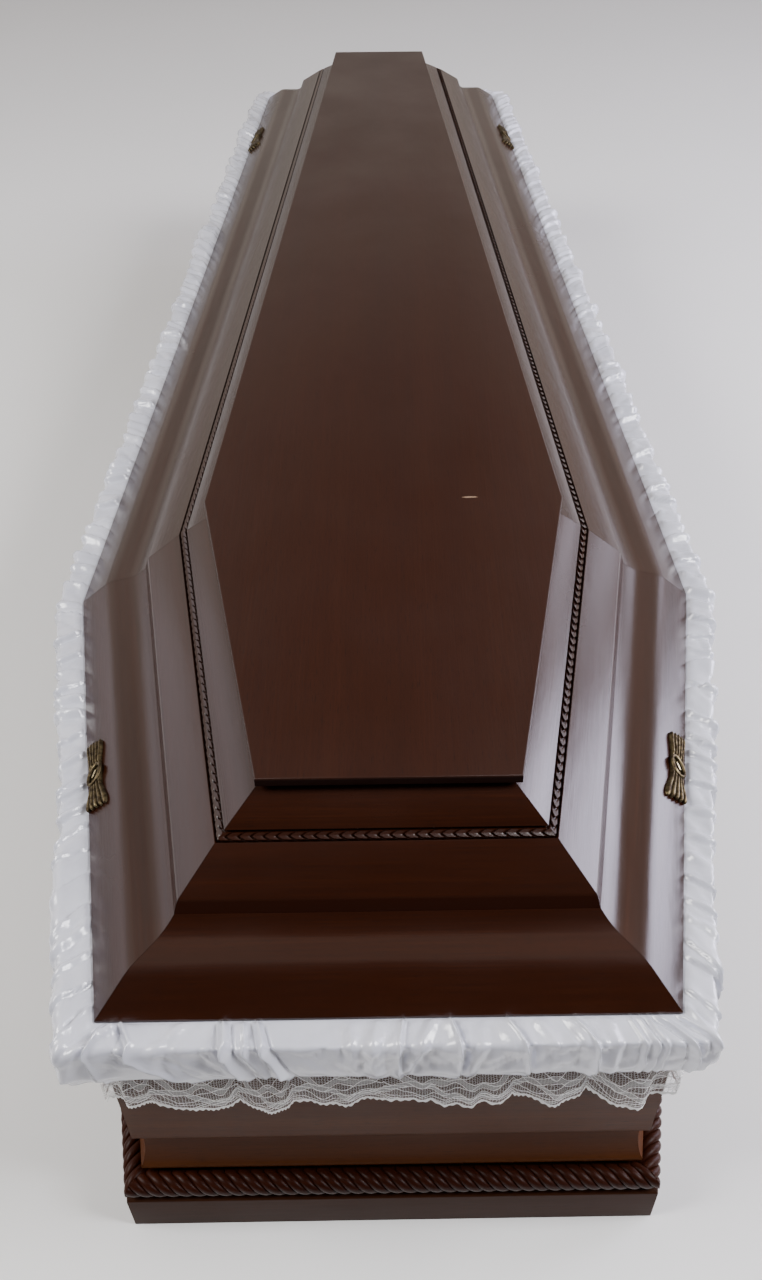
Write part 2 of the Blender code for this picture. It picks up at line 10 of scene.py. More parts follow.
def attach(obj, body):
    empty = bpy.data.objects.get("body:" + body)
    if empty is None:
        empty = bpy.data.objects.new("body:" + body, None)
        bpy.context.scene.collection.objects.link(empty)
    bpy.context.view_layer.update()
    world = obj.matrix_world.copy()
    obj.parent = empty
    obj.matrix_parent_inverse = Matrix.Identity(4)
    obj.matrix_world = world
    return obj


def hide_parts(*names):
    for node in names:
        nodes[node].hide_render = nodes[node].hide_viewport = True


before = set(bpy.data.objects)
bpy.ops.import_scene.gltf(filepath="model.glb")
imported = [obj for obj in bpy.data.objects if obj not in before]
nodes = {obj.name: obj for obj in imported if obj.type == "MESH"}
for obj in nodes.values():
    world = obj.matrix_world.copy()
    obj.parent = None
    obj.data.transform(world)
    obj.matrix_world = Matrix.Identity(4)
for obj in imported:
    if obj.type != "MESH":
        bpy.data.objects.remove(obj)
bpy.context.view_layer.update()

# Looks for a wooden coffin: stained and lacquered walnut with carved strips, gathered white
# satin and lace round the rim, and cast screws on the lid. Metres. The head end is at -Y.

up = Vector((0, 0, 1))
sideNames = ["head", "right_shoulder", "right_side", "foot", "left_side", "left_shoulder"]
print("frame loaded,", len(nodes), "nodes")

# Outline of the lid's rim seen from above. Every moulding runs parallel to it.
rim = {"length": 2.0, "headWidth": 0.456, "shoulderWidth": 0.638, "footWidth": 0.42,
       "toShoulder": 0.51}
gap = 0.0003  # clearance at the joints


def rimCorners():
    half = rim["length"] / 2
    places = [(rim["headWidth"] / 2, -half), (rim["shoulderWidth"] / 2, rim["toShoulder"] - half)]
    places.append((rim["footWidth"] / 2, half))
    right = [Vector((x, y, 0)) for x, y in places]
    left = [Vector((-p.x, p.y, 0)) for p in right]
    return [left[0], right[0], right[1], right[2], left[2], left[1]]


def sideFrame(index):
    # start, direction, length and outward normal of one side
    corners = rimCorners()
    start, end = corners[index % 6], corners[(index + 1) % 6]
    along = (end - start).normalized()
    return start, along, (end - start).length, along.cross(up)


def cornerPoint(index, reach, z):
    before, after = sideFrame(index - 1)[3], sideFrame(index)[3]
    shift = (before + after) / (1 + before.dot(after))
    return rimCorners()[index % 6] + shift * reach + up * z


def sidePoint(index, distance, reach, z):
    start, along, _, outward = sideFrame(index)
    return start + along * distance + outward * reach + up * z


def curve(first, control, last, steps):
    # a bend that leaves and arrives towards the control point
    points = []
    for i in range(steps + 1):
        t = i / steps
        weights = (1 - t) ** 2, 2 * t * (1 - t), t**2
        spots = zip(first, control, last)
        points.append(tuple(sum(w * c for w, c in zip(weights, spot)) for spot in spots))
    return points


# Materials

def linear(hexColour):
    # sRGB hex to linear RGBA
    parts = [int(hexColour[i:i + 2], 16) / 255 for i in (1, 3, 5)]
    return (*[c / 12.92 if c <= 0.04045 else ((c + 0.055) / 1.055) ** 2.4 for c in parts], 1.0)


def newMaterial(name):
    material = bpy.data.materials.new(name)
    material.use_nodes = True
    tree = material.node_tree
    return material, tree, tree.nodes["Principled BSDF"]


def addNode(tree, kind, links=None, values=None, **settings):
    # one node, with its settings, its fixed inputs and what feeds the others
    node = tree.nodes.new("ShaderNode" + kind)
    for key, value in settings.items():
        setattr(node, key, value)
    for key, value in (values or {}).items():
        node.inputs[key].default_value = value
    for key, socket in (links or {}).items():
        tree.links.new(socket, node.inputs[key])
    return node


def feed(tree, shader, sockets, values):
    for key, socket in sockets.items():
        tree.links.new(socket, shader.inputs[key])
    for key, value in values.items():
        shader.inputs[key].default_value = value


def rampOf(tree, factor, stops):
    # a colour ramp, whose stops are hex colours or grey values
    ramp = addNode(tree, "ValToRGB", {"Fac": factor})
    points = ramp.color_ramp.elements
    while len(points) < len(stops):
        points.new(0.5)
    for point, (place, colour) in zip(points, stops):
        point.position = place
        point.color = linear(colour) if isinstance(colour, str) else (colour, colour, colour, 1)
    return ramp.outputs[0]


def calculate(tree, operation, *terms):
    # a sum of sockets and numbers
    numbers = {i: term for i, term in enumerate(terms) if isinstance(term, (int, float))}
    links = {i: term for i, term in enumerate(terms) if i not in numbers}
    return addNode(tree, "Math", links, numbers, operation=operation).outputs[0]


def noiseOf(tree, where, scale, detail, shift=(0, 0, 0), **values):
    # noise of one scale, or of a scale for each axis
    if isinstance(scale, tuple):
        stretch = addNode(tree, "Mapping", {"Vector": where}, {"Scale": scale, "Location": shift})
        where, scale = stretch.outputs[0], 1.0
    values.update(Scale=scale, Detail=detail)
    return addNode(tree, "TexNoise", {"Vector": where}, values).outputs["Fac"]


def rangeOf(tree, value, before, after, **settings):
    # takes the range before to the range after
    ends = dict(zip(("From Min", "From Max", "To Min", "To Max"), (*before, *after)))
    return addNode(tree, "MapRange", {"Value": value}, ends, **settings).outputs[0]


def mixColour(tree, mask, under, over):
    # lays the colour over on the colour or socket under
    links, values = {"Factor": mask}, {"B": linear(over)}
    if isinstance(under, str):
        values["A"] = linear(under)
    else:
        links["A"] = under
    return addNode(tree, "Mix", links, values, data_type="RGBA").outputs["Result"]


def bumpOf(tree, height, strength, distance, normal=None):
    links = {"Height": height} if normal is None else {"Height": height, "Normal": normal}
    return addNode(tree, "Bump", links, {"Strength": strength, "Distance": distance}).outputs[0]


def walnut(name, look):
    # Stained walnut under lacquer: dark brown, faint long grain, short pores, a soft gloss
    # that shows the slight waves of a brushed coat
    material, tree, shader = newMaterial(name)
    position = addNode(tree, "TexCoord").outputs["Object"]
    where = addNode(tree, "UVMap", uv_map="grain").outputs["UV"] if look["onUv"] else position
    turn = (0, 0, 0 if look["onUv"] else math.radians(90))
    place = addNode(tree, "Mapping", {"Vector": where}, {"Rotation": turn}).outputs[0]
    fine, broad = (9, 1 / look["fibreWidth"], 40), (1.6, 1 / look["bandWidth"], 6)
    lines = noiseOf(tree, place, fine, 6, Roughness=0.62, Distortion=0.25)
    bands = noiseOf(tree, place, broad, 3, (3.1, 1.7, 0.4), Distortion=0.6)
    mixed = addNode(tree, "Mix", {"A": lines, "B": bands}, {"Factor": 0.45}).outputs["Result"]
    pores = noiseOf(tree, place, (70, 1 / look["poreWidth"], 300), 2)
    poreMask = rampOf(tree, pores, [(0.60, 0.0), (0.72, 1.0)])
    colour = mixColour(tree, poreMask, rampOf(tree, mixed, look["stops"]), look["pore"])
    waves = bumpOf(tree, noiseOf(tree, place, (22, 70, 60), 1), 0.5, look["waves"])
    sockets = {
        "Roughness": rangeOf(tree, noiseOf(tree, place, 7.0, 4), (0.3, 0.7), look["rough"]),
        "Normal": bumpOf(tree, lines, 0.35, 0.00025, waves),
    }
    if "scuff" in look:
        colour = addScuff(tree, position, colour, look["scuff"])
    if "shade" in look:
        # painted shade on the edges turned from the light: below this height the colour darkens and
        # the gloss drops
        height = addNode(tree, "SeparateXYZ", {0: position}).outputs["Z"]
        mask = rangeOf(tree, height, look["shade"], (1, 0))
        colour = mixColour(tree, mask, colour, look["shadeColour"])
        dull = look["gloss"] * 0.25
        sockets["Specular IOR Level"] = rangeOf(tree, mask, (0, 1), (look["gloss"], dull))
    sockets["Base Color"] = colour
    feed(tree, shader, sockets, {"Specular IOR Level": look["gloss"], "IOR": 1.5})
    return material


def addScuff(tree, position, colour, scuff):
    # A rubbed place in the lacquer, where the pale wood under the stain shows
    middle = addNode(tree, "VectorMath", {0: position}, {1: scuff["place"]}, operation="SUBTRACT")
    turned = addNode(tree, "Mapping", {"Vector": middle.outputs[0]},
                     {"Rotation": (0, 0, math.radians(scuff["turn"])), "Scale": scuff["scale"]})
    length = addNode(tree, "VectorMath", {0: turned.outputs[0]}, operation="LENGTH")
    length = length.outputs["Value"]
    ragged = calculate(tree, "SUBTRACT", noiseOf(tree, position, 420.0, 5), length)
    return mixColour(tree, rangeOf(tree, ragged, (-0.35, -0.12), (0, 0.9)), colour, scuff["colour"])


topBoardLook = {
    "onUv": True, "fibreWidth": 0.0022, "bandWidth": 0.028, "poreWidth": 0.0008,
    "stops": [(0.32, "#29120a"), (0.55, "#2d140a"), (0.75, "#32170c")], "pore": "#200e08",
    "rough": (0.34, 0.42), "waves": 0.0004, "gloss": 0.35,
    # painted shade on the board's edge below this height
    "shade": (0.4446, 0.4464), "shadeColour": "#200e08",
    "scuff": {"place": (0.0859, -0.4801, 0.4467), "turn": -40, "scale": (110, 520, 50),
              "colour": "#8c7460"},
}
lidLook = dict(topBoardLook, rough=(0.22, 0.28), gloss=0.55, fibreWidth=0.0018,
               stops=[(0.32, "#230d05"), (0.55, "#2d1206"), (0.75, "#38190a")])
del lidLook["scuff"], lidLook["shade"]
# painted shade on the panels' step below this height
panelLook = dict(lidLook, shade=(0.3795, 0.3812), shadeColour="#2a1107")
bodyLook = dict(lidLook, rough=(0.36, 0.46), gloss=0.08,
                stops=[(0.30, "#3f1f09"), (0.55, "#4b260b"), (0.78, "#57300f")], pore="#2a1407")
# the plinth is greyer and darker than the walls
plinthLook = dict(bodyLook, pore="#1f0f07",
                  stops=[(0.30, "#2a1408"), (0.55, "#32190b"), (0.78, "#3b1f0f")])
carvingLook = dict(lidLook, rough=(0.34, 0.42), gloss=0.12,
                   stops=[(0.32, "#240d06"), (0.55, "#301308"), (0.75, "#3c1a0b")])
insideLook = dict(bodyLook, onUv=False)

topWood = walnut("lacqueredWalnutTopBoard", topBoardLook)
lidWood = walnut("lacqueredWalnutLid", lidLook)
panelWood = walnut("lacqueredWalnutLidPanels", panelLook)
bodyWood = walnut("lacqueredWalnutBody", bodyLook)
plinthWood = walnut("lacqueredWalnutPlinth", plinthLook)
carvedWood = walnut("lacqueredWalnutCarving", carvingLook)
insideWood = walnut("stainedWalnutInside", insideLook)


def agedBrass():
    # Cast brass gone brown in the hollows, rubbed brighter on the ribs
    material, tree, shader = newMaterial("agedCastBrass")
    relief = addNode(tree, "Attribute", attribute_name="relief").outputs["Fac"]
    spots = noiseOf(tree, addNode(tree, "TexCoord").outputs["Object"], 260.0, 5)
    worn = calculate(tree, "MULTIPLY", calculate(tree, "ADD", spots, relief), 0.5)
    stops = [(0.24, "#140f09"), (0.44, "#43382a"), (0.61, "#85785a"), (0.80, "#cdc19a")]
    sockets = {
        "Base Color": rampOf(tree, worn, stops),
        "Roughness": rangeOf(tree, worn, (0.3, 0.75), (0.62, 0.32)),
        "Normal": bumpOf(tree, spots, 0.5, 0.0002),
    }
    feed(tree, shader, sockets, {"Metallic": 1.0})
    return material


def whiteSatin():
    # Polyester satin: white with a soft, bright gloss along every fold, and a fine weave
    material, tree, shader = newMaterial("whitePolyesterSatin")
    where = addNode(tree, "UVMap", uv_map="cloth").outputs["UV"]
    clouds = noiseOf(tree, where, 14.0, 3)
    weave = noiseOf(tree, where, (180, 1600, 1), 1)  # floats at 0.6 mm for a real 0.3 mm
    sockets = {
        "Base Color": rampOf(tree, clouds, [(0.3, "#cfd1de"), (0.7, "#dfe1ed")]),
        "Roughness": rangeOf(tree, clouds, (0, 1), (0.20, 0.28)),
        "Normal": bumpOf(tree, weave, 0.25, 0.00008),
    }
    gloss = {"Specular IOR Level": 1.0, "Coat Weight": 0.6, "Coat Roughness": 0.22}
    feed(tree, shader, sockets, gloss)
    return material


brass = agedBrass()
satinCloth = whiteSatin()
print("woods, brass and satin made")


# Finishing a piece

def finishPiece(name, bm, material, replaced, smoothAngle=40):
    mesh = bpy.data.meshes.new(name)
    bm.to_mesh(mesh)
    bm.free()
    mesh.materials.append(material)
    mesh.shade_smooth()
    if smoothAngle < 180:
        mesh.set_sharp_from_angle(angle=math.radians(smoothAngle))
    piece = bpy.data.objects.new(name, mesh)
    bpy.context.scene.collection.objects.link(piece)
    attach(piece, "root")
    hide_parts(*replaced)
    return piece


def vertsOf(result):
    return [v for v in result["geom"] if isinstance(v, bmesh.types.BMVert)]


def roundOff(bm, edges, radius, segments):
    bmesh.ops.bevel(bm, geom=edges, offset=radius, segments=segments, profile=0.5, affect="EDGES",
                    material=-1)


def mitrePlane(index, corner):
    along = sideFrame(index)[1]
    leaving = 1 if corner == index + 1 else -1
    before, after = sideFrame(corner - 1)[3], sideFrame(corner)[3]
    normal = (before + after).cross(up).normalized()
    if normal.dot(along) * leaving < 0:
        normal.negate()
    return cornerPoint(corner, 0, 0) - normal * (gap / 2), normal


def cutMitres(bm, index):
    for corner in (index, index + 1):
        place, normal = mitrePlane(index, corner)
        cut = bmesh.ops.bisect_plane(
            bm, geom=bm.verts[:] + bm.edges[:] + bm.faces[:], dist=1e-7,
            plane_co=place, plane_no=normal, clear_outer=True,
        )
        loop = [e for e in cut["geom_cut"] if isinstance(e, bmesh.types.BMEdge)]
        bmesh.ops.edgeloop_fill(bm, edges=loop)
    bmesh.ops.recalc_face_normals(bm, faces=bm.faces[:])


def mapGrain(bm, index, shift):
    # UV in metres: u along the side, v across it from the outside to the inside
    start, along, _, outward = sideFrame(index)
    layer = bm.loops.layers.uv.new("grain")
    for face in bm.faces:
        for loop in face.loops:
            place = loop.vert.co - start
            across = loop.vert.co.z - place.dot(outward)
            loop[layer].uv = (place.dot(along) + 2.3 * index + shift, across + 0.37 * index + shift)


def roundEdge(bm, index, spot, radius, segments):
    # rounds the long edge that runs through one (reach, z) spot of a rail
    start, along, _, outward = sideFrame(index)
    edges = []
    for edge in bm.edges:
        middle = (edge.verts[0].co + edge.verts[1].co) / 2
        if abs((edge.verts[1].co - edge.verts[0].co).normalized().dot(along)) < 0.99:
            continue
        if math.hypot((middle - start).dot(outward) - spot[0], middle.z - spot[1]) < 1e-5:
            edges.append(edge)
    roundOff(bm, edges, radius, segments)


beyond = 0.12  # how far a rail runs past its side before the mitres cut it


def rail(name, index, section, rounded, material, shift):
    # a mitred length of moulding with the given section
    start, along, length, _ = sideFrame(index)
    bm = bmesh.new()
    face = bm.faces.new([bm.verts.new(sidePoint(index, -beyond, r, z)) for r, z in section])
    grown = bmesh.ops.extrude_face_region(bm, geom=[face])
    bmesh.ops.translate(bm, verts=vertsOf(grown), vec=along * (length + 2 * beyond))
    for spot, radius, segments in rounded:
        roundEdge(bm, index, spot, radius, segments)
    cutMitres(bm, index)
    mapGrain(bm, index, shift)
    side = sideNames[index]
    return finishPiece(f"{name}_{side}_fine", bm, material, [f"{name}_{side}"])


# Body mouldings

body = {
    "plinthTop": 0.050, "plinthReach": 0.0232, "insideReach": -0.0168, "plinthRound": 0.0016,
    "coveTop": 0.1308, "coveTopReach": -0.0053, "lipReach": 0.0037, "lip": 0.0808, "lipEdge": 0.002,
    "hollow": 0.0375, "ropeSize": 0.024, "wallBottom": 0.1311, "wallTop": 0.3246,
    "wallReach": 0.0032, "wallRound": 0.008,
}
coveBottom = body["plinthTop"] + gap
ropeBack = body["plinthReach"] - body["ropeSize"]


def plinthSection():
    inside, outside, top = body["insideReach"], body["plinthReach"], body["plinthTop"]
    return [(inside, 0), (outside, 0), (outside, top), (inside, top)]


def coveSection():
    hollow = curve((body["coveTopReach"], body["coveTop"]),
                   (body["coveTopReach"], body["coveTop"] - body["hollow"]),
                   (body["lipReach"], body["lip"]), 14)
    back = ropeBack - gap
    edge = body["lip"] - body["lipEdge"]
    return [
        (body["insideReach"], coveBottom), (back, coveBottom), (back, edge - body["lipEdge"]),
        (body["lipReach"], edge), *hollow[::-1],
        (body["insideReach"], body["coveTop"]),
    ]


def wallSection():
    inside, outside = body["insideReach"], body["wallReach"]
    return [(inside, body["wallBottom"]), (outside, body["wallBottom"]), (outside, body["wallTop"]),
            (inside, body["wallTop"])]


for index in range(6):
    plinthEdge = ((body["plinthReach"], body["plinthTop"]), body["plinthRound"], 3)
    rail("plinth", index, plinthSection(), [plinthEdge], plinthWood, 0.11)
    rail("cove_moulding", index, coveSection(), [], bodyWood, 1.27)
    wallEdge = ((body["wallReach"], body["wallBottom"]), body["wallRound"], 8)
    rail("wall_board", index, wallSection(), [wallEdge], bodyWood, 4.6)
    nodes[f"rim_rail_{sideNames[index]}"].data.materials[0] = insideWood
nodes["bottom_board"].data.materials[0] = insideWood
print("body mouldings made")


# Lid mouldings

lid = {
    "bottom": 0.3267, "top": 0.4467, "rimEdge": 0.002, "slope": (0.0253, 0.020),
    "nosing": (0.013, 0.006), "ledge": (0.013, 0.0025), "cove": (0.020, 0.012),
    "step": (0.0042, 0.0117), "lower": (0.0353, 0.0273), "braid": (0.0085, 0.0055),
    "upperSlope": math.radians(32), "rimWidth": 0.031, "seatWidth": 0.024, "seatEdge": 0.0045,
    "panelSeat": 0.015, "topSeat": 0.018, "topEdge": 0.004, "board": 0.008,
    "grooveDepth": 0.004, "arris": 0.0016, "braidArris": 0.0005, "rimRound": 0.0007,
}


def stepFrom(point, run):
    return (point[0] - run[0], point[1] + run[1])


def lidPoints():
    # the corners of the lid's outer face, from the rim to the upper edge of the braid's groove
    names = ["slope", "nosing", "ledge", "cove"]
    points = [(0.0, lid["bottom"] + lid["rimEdge"])]
    for key in names:
        points.append(stepFrom(points[-1], lid[key]))
    foot = (points[-1][0], points[-1][1] + gap)
    arris = stepFrom(foot, lid["step"])
    low = stepFrom(arris, lid["lower"])
    high = stepFrom(low, lid["braid"])
    return points, foot, arris, low, high


def lidMouldingSection():
    (rimTop, slopeTop, noseEnd, ledgeEnd, coveEnd), *_ = lidPoints()
    slope = lid["slope"][1] / lid["slope"][0]
    ledge = lid["ledge"][1] / lid["ledge"][0]
    meeting = (noseEnd[1] - slopeTop[1] - ledge * lid["nosing"][0]) / (slope - ledge)
    noseControl = (slopeTop[0] - meeting, slopeTop[1] + slope * meeting)
    half = lid["cove"][0] / 2
    coveControl = (ledgeEnd[0] - half, ledgeEnd[1] + ledge * half)
    seatInside = coveEnd[0] - lid["seatWidth"]
    return [
        (-lid["rimWidth"], lid["bottom"]), (0.0, lid["bottom"]), rimTop,
        *curve(slopeTop, noseControl, noseEnd, 14), *curve(ledgeEnd, coveControl, coveEnd, 12),
        (seatInside, coveEnd[1]), (seatInside, coveEnd[1] - lid["seatEdge"]),
    ]


def braidAxes():
    # directions across the braid and out of it, as (reach, z), and the groove's width
    width = math.hypot(*lid["braid"])
    across = (-lid["braid"][0] / width, lid["braid"][1] / width)
    return across, (across[1], -across[0]), width


def lidPanelSection():
    _, foot, arris, low, high = lidPoints()
    out = [lid["grooveDepth"] * part for part in braidAxes()[1]]
    sink = [(p[0] - out[0], p[1] - out[1]) for p in (low, high)]
    top = lid["top"] - lid["board"] - gap
    topReach = high[0] - (top - high[1]) / math.tan(lid["upperSlope"])
    return [
        (foot[0] - lid["panelSeat"], foot[1]), foot, arris, low, *sink, high, (topReach, top),
        (topReach - lid["topSeat"], top), (topReach - lid["topSeat"], top - lid["topEdge"]),
    ]


for index in range(6):
    mouldingEdge = ((0.0, lid["bottom"] + lid["rimEdge"]), lid["rimRound"], 2)
    rail("lid_moulding", index, lidMouldingSection(), [mouldingEdge], lidWood, 2.9)
    _, foot, arris, low, high = lidPoints()
    panelEdges = [(arris, lid["arris"], 5)] + [(p, lid["braidArris"], 2) for p in (low, high)]
    rail("lid_panel", index, lidPanelSection(), panelEdges, panelWood, 5.3)
print("lid mouldings made")


# Top board

board = {"setback": 0.1433, "shoulderStray": 0.0028, "headLeft": -0.005, "footRight": -0.0033,
         "round": 0.0014}


def topBoard():
    stray = board["shoulderStray"]
    strays = [-board["headLeft"], 0, stray, board["footRight"], 0, -stray]
    level = lid["top"] - lid["board"]
    bm = bmesh.new()
    corners = [cornerPoint(i, -board["setback"], level) for i in range(6)]
    corners = [corner + Vector((stray, 0, 0)) for corner, stray in zip(corners, strays)]
    face = bm.faces.new([bm.verts.new(c) for c in corners])
    grown = bmesh.ops.extrude_face_region(bm, geom=[face])
    bmesh.ops.translate(bm, verts=vertsOf(grown), vec=up * lid["board"])
    edges = [e for e in bm.edges if all(v.co.z > level + gap for v in e.verts)]
    roundOff(bm, edges, board["round"], 4)
    bmesh.ops.recalc_face_normals(bm, faces=bm.faces[:])
    layer = bm.loops.layers.uv.new("grain")
    for face in bm.faces:
        for loop in face.loops:
            place = loop.vert.co
            loop[layer].uv = (place.y, place.x + 3 * (lid["top"] - place.z))
    return finishPiece("lid_top_board_fine", bm, topWood, ["lid_top_board"])


topBoard()


# Carved strips

def carvedStrip(name, index, rows, places, pitch, material, shift):
    # A closed strip along one side. places are the shares of a repeat at which it has columns.
    # Each row is a function of such a share, which gives (reach, z, lead in pitches).
    length = sideFrame(index)[2]
    margin = 0.16
    repeats = int((length + 2 * margin) / pitch)
    columns = repeats * len(places)
    bm = bmesh.new()
    bmesh.ops.create_grid(bm, x_segments=columns, y_segments=len(rows), size=0.5)
    for vert in bm.verts:
        i = round((vert.co.x + 0.5) * columns)
        j = round((vert.co.y + 0.5) * len(rows)) % len(rows)
        share = places[i % len(places)]
        reach, z, lead = rows[j](share)
        distance = (i // len(places) + share + lead) * pitch - margin
        vert.co = sidePoint(index, distance, reach, z)
    bmesh.ops.remove_doubles(bm, verts=bm.verts[:], dist=1e-6)
    cutMitres(bm, index)
    mapGrain(bm, index, shift)
    side = sideNames[index]
    return finishPiece(f"{name}_{side}_fine", bm, material, [f"{name}_{side}"], 50)


braidSize = {"pitch": 0.0100, "width": 0.0074, "base": 0.0024, "tipRise": 0.0016,
             "backRise": 0.0003, "crown": 0.0004, "lead": 0.60, "sideDrop": 0.0012,
             "cut": 0.0022, "rows": 8}
# columns of one scale: the cut in front of its tip, the tip, then a gentle fall to its back
braidPlaces = [0.0, 0.06, 0.18, 0.24, 0.48, 0.74, 0.94]


def braidRows():
    across, out, width = braidAxes()
    low = lidPoints()[3]
    half = braidSize["width"] / 2

    def spot(shift, height, lead):
        # a place across the braid and over its groove's floor
        shift += width / 2
        height -= lid["grooveDepth"]
        return (low[0] + across[0] * shift + out[0] * height,
                low[1] + across[1] * shift + out[1] * height, lead)

    def surface(v):
        # v runs from -1 to 1 across the braid. Each scale's tip points towards the start.
        def place(share):
            fall = (share - braidPlaces[3]) / (1 - braidPlaces[3])
            rise = braidSize["tipRise"] - (braidSize["tipRise"] - braidSize["backRise"]) * fall
            if fall < 0:
                rise = -braidSize["cut"] if share > 0 else 0.0
            height = braidSize["base"] + rise * (1 - 0.2 * abs(v))
            height += braidSize["crown"] * (1 - v * v)
            if abs(v) > 0.99:
                height -= braidSize["sideDrop"]
            return spot(v * half, max(height, gap + 0.0002), braidSize["lead"] * abs(v) ** 1.2)
        return place

    rows = [surface(-1 + 2 * j / braidSize["rows"]) for j in range(braidSize["rows"] + 1)]
    rows.append(lambda share: spot(half, gap, braidSize["lead"]))
    rows.append(lambda share: spot(-half, gap, braidSize["lead"]))
    return rows


ropeSize = {"pitch": 0.0122, "depth": 0.0034, "top": 128, "bottom": -52, "rows": 12}
ropePlaces = [0.0, 0.05, 0.16, 0.33, 0.5, 0.67, 0.84, 0.95]


def ropeRows():
    radius = body["ropeSize"] / 2
    centre = (ropeBack + radius, coveBottom + radius)
    crest = math.radians(40)

    def surface(angle):
        def place(share):
            size = radius - ropeSize["depth"] * (1 - math.sqrt(max(0, 1 - (2 * share - 1) ** 2)))
            reach = centre[0] + size * math.cos(angle)
            z = max(coveBottom, centre[1] + size * math.sin(angle))
            return reach, z, (crest - angle) / (math.pi / 2)
        return place

    first, last = math.radians(ropeSize["top"]), math.radians(ropeSize["bottom"])
    steps = [j / ropeSize["rows"] for j in range(ropeSize["rows"] + 1)]
    rows = [surface(first + (last - first) * step) for step in steps]
    ends = [rows[-1](0)[2], rows[0](0)[2]]
    rows.append(lambda share: (centre[0] + 0.3 * radius, coveBottom, ends[0]))
    rows.append(lambda share: (ropeBack, coveBottom, (ends[0] + ends[1]) / 2))
    rows.append(lambda share: (ropeBack, centre[1] + 0.4 * radius, ends[1]))
    return rows


for index in range(6):
    carvedStrip("lid_braid", index, braidRows(), braidPlaces, braidSize["pitch"],
                lidWood, 0.8)
    carvedStrip("rope_moulding", index, ropeRows(), ropePlaces, ropeSize["pitch"],
                carvedWood, 3.9)
print("braid and rope carved")


# Cast ornaments and their screws

ornament = {"length": 0.084, "narrow": 0.0200, "wide": 0.0265, "waist": 0.0148, "thick": 0.0016,
            "rib": 0.0019, "ribs": 5, "crown": 0.0012, "fromRim": 0.0125, "ringLong": 0.0255,
            "ringWide": 0.0165, "ringTube": 0.0018, "ringLift": 0.0030, "tilt": 32,
            "floor": 0.0012, "besideRing": 0.0028}
screwHead = {"diameter": 0.0098, "bottom": 0.0015, "thick": 0.0011, "barLength": 0.0086,
             "barWidth": 0.0022, "barHeight": 0.0017, "barEdge": 0.0003, "turn": 35}


def ornamentPlace(index, share):
    along, _, outward = sideFrame(index)[1:]
    face = math.hypot(*lid["slope"])
    climb = (-lid["slope"][0] / face, lid["slope"][1] / face)
    out = (climb[1], -climb[0])
    reach = climb[0] * ornament["fromRim"] + out[0] * gap
    z = lid["bottom"] + lid["rimEdge"] + climb[1] * ornament["fromRim"] + out[1] * gap
    across = outward * climb[0] + up * climb[1]
    normal = outward * out[0] + up * out[1]
    if along.y > 0:
        along, across = -along, -across
    place = Matrix((along, across, normal)).transposed().to_4x4()
    place.translation = sidePoint(index, share * sideFrame(index)[2], reach, z)
    return place


def plateHalfWidth(x):
    # x runs from -1 at the narrow end to 1 at the wide end
    end = ornament["wide"] if x > 0 else ornament["narrow"]
    flare = min(1.0, max(0.0, (abs(x) - 0.28) / 0.6))
    flare = flare * flare * (3 - 2 * flare)
    return (ornament["waist"] + (end - ornament["waist"]) * flare) / 2


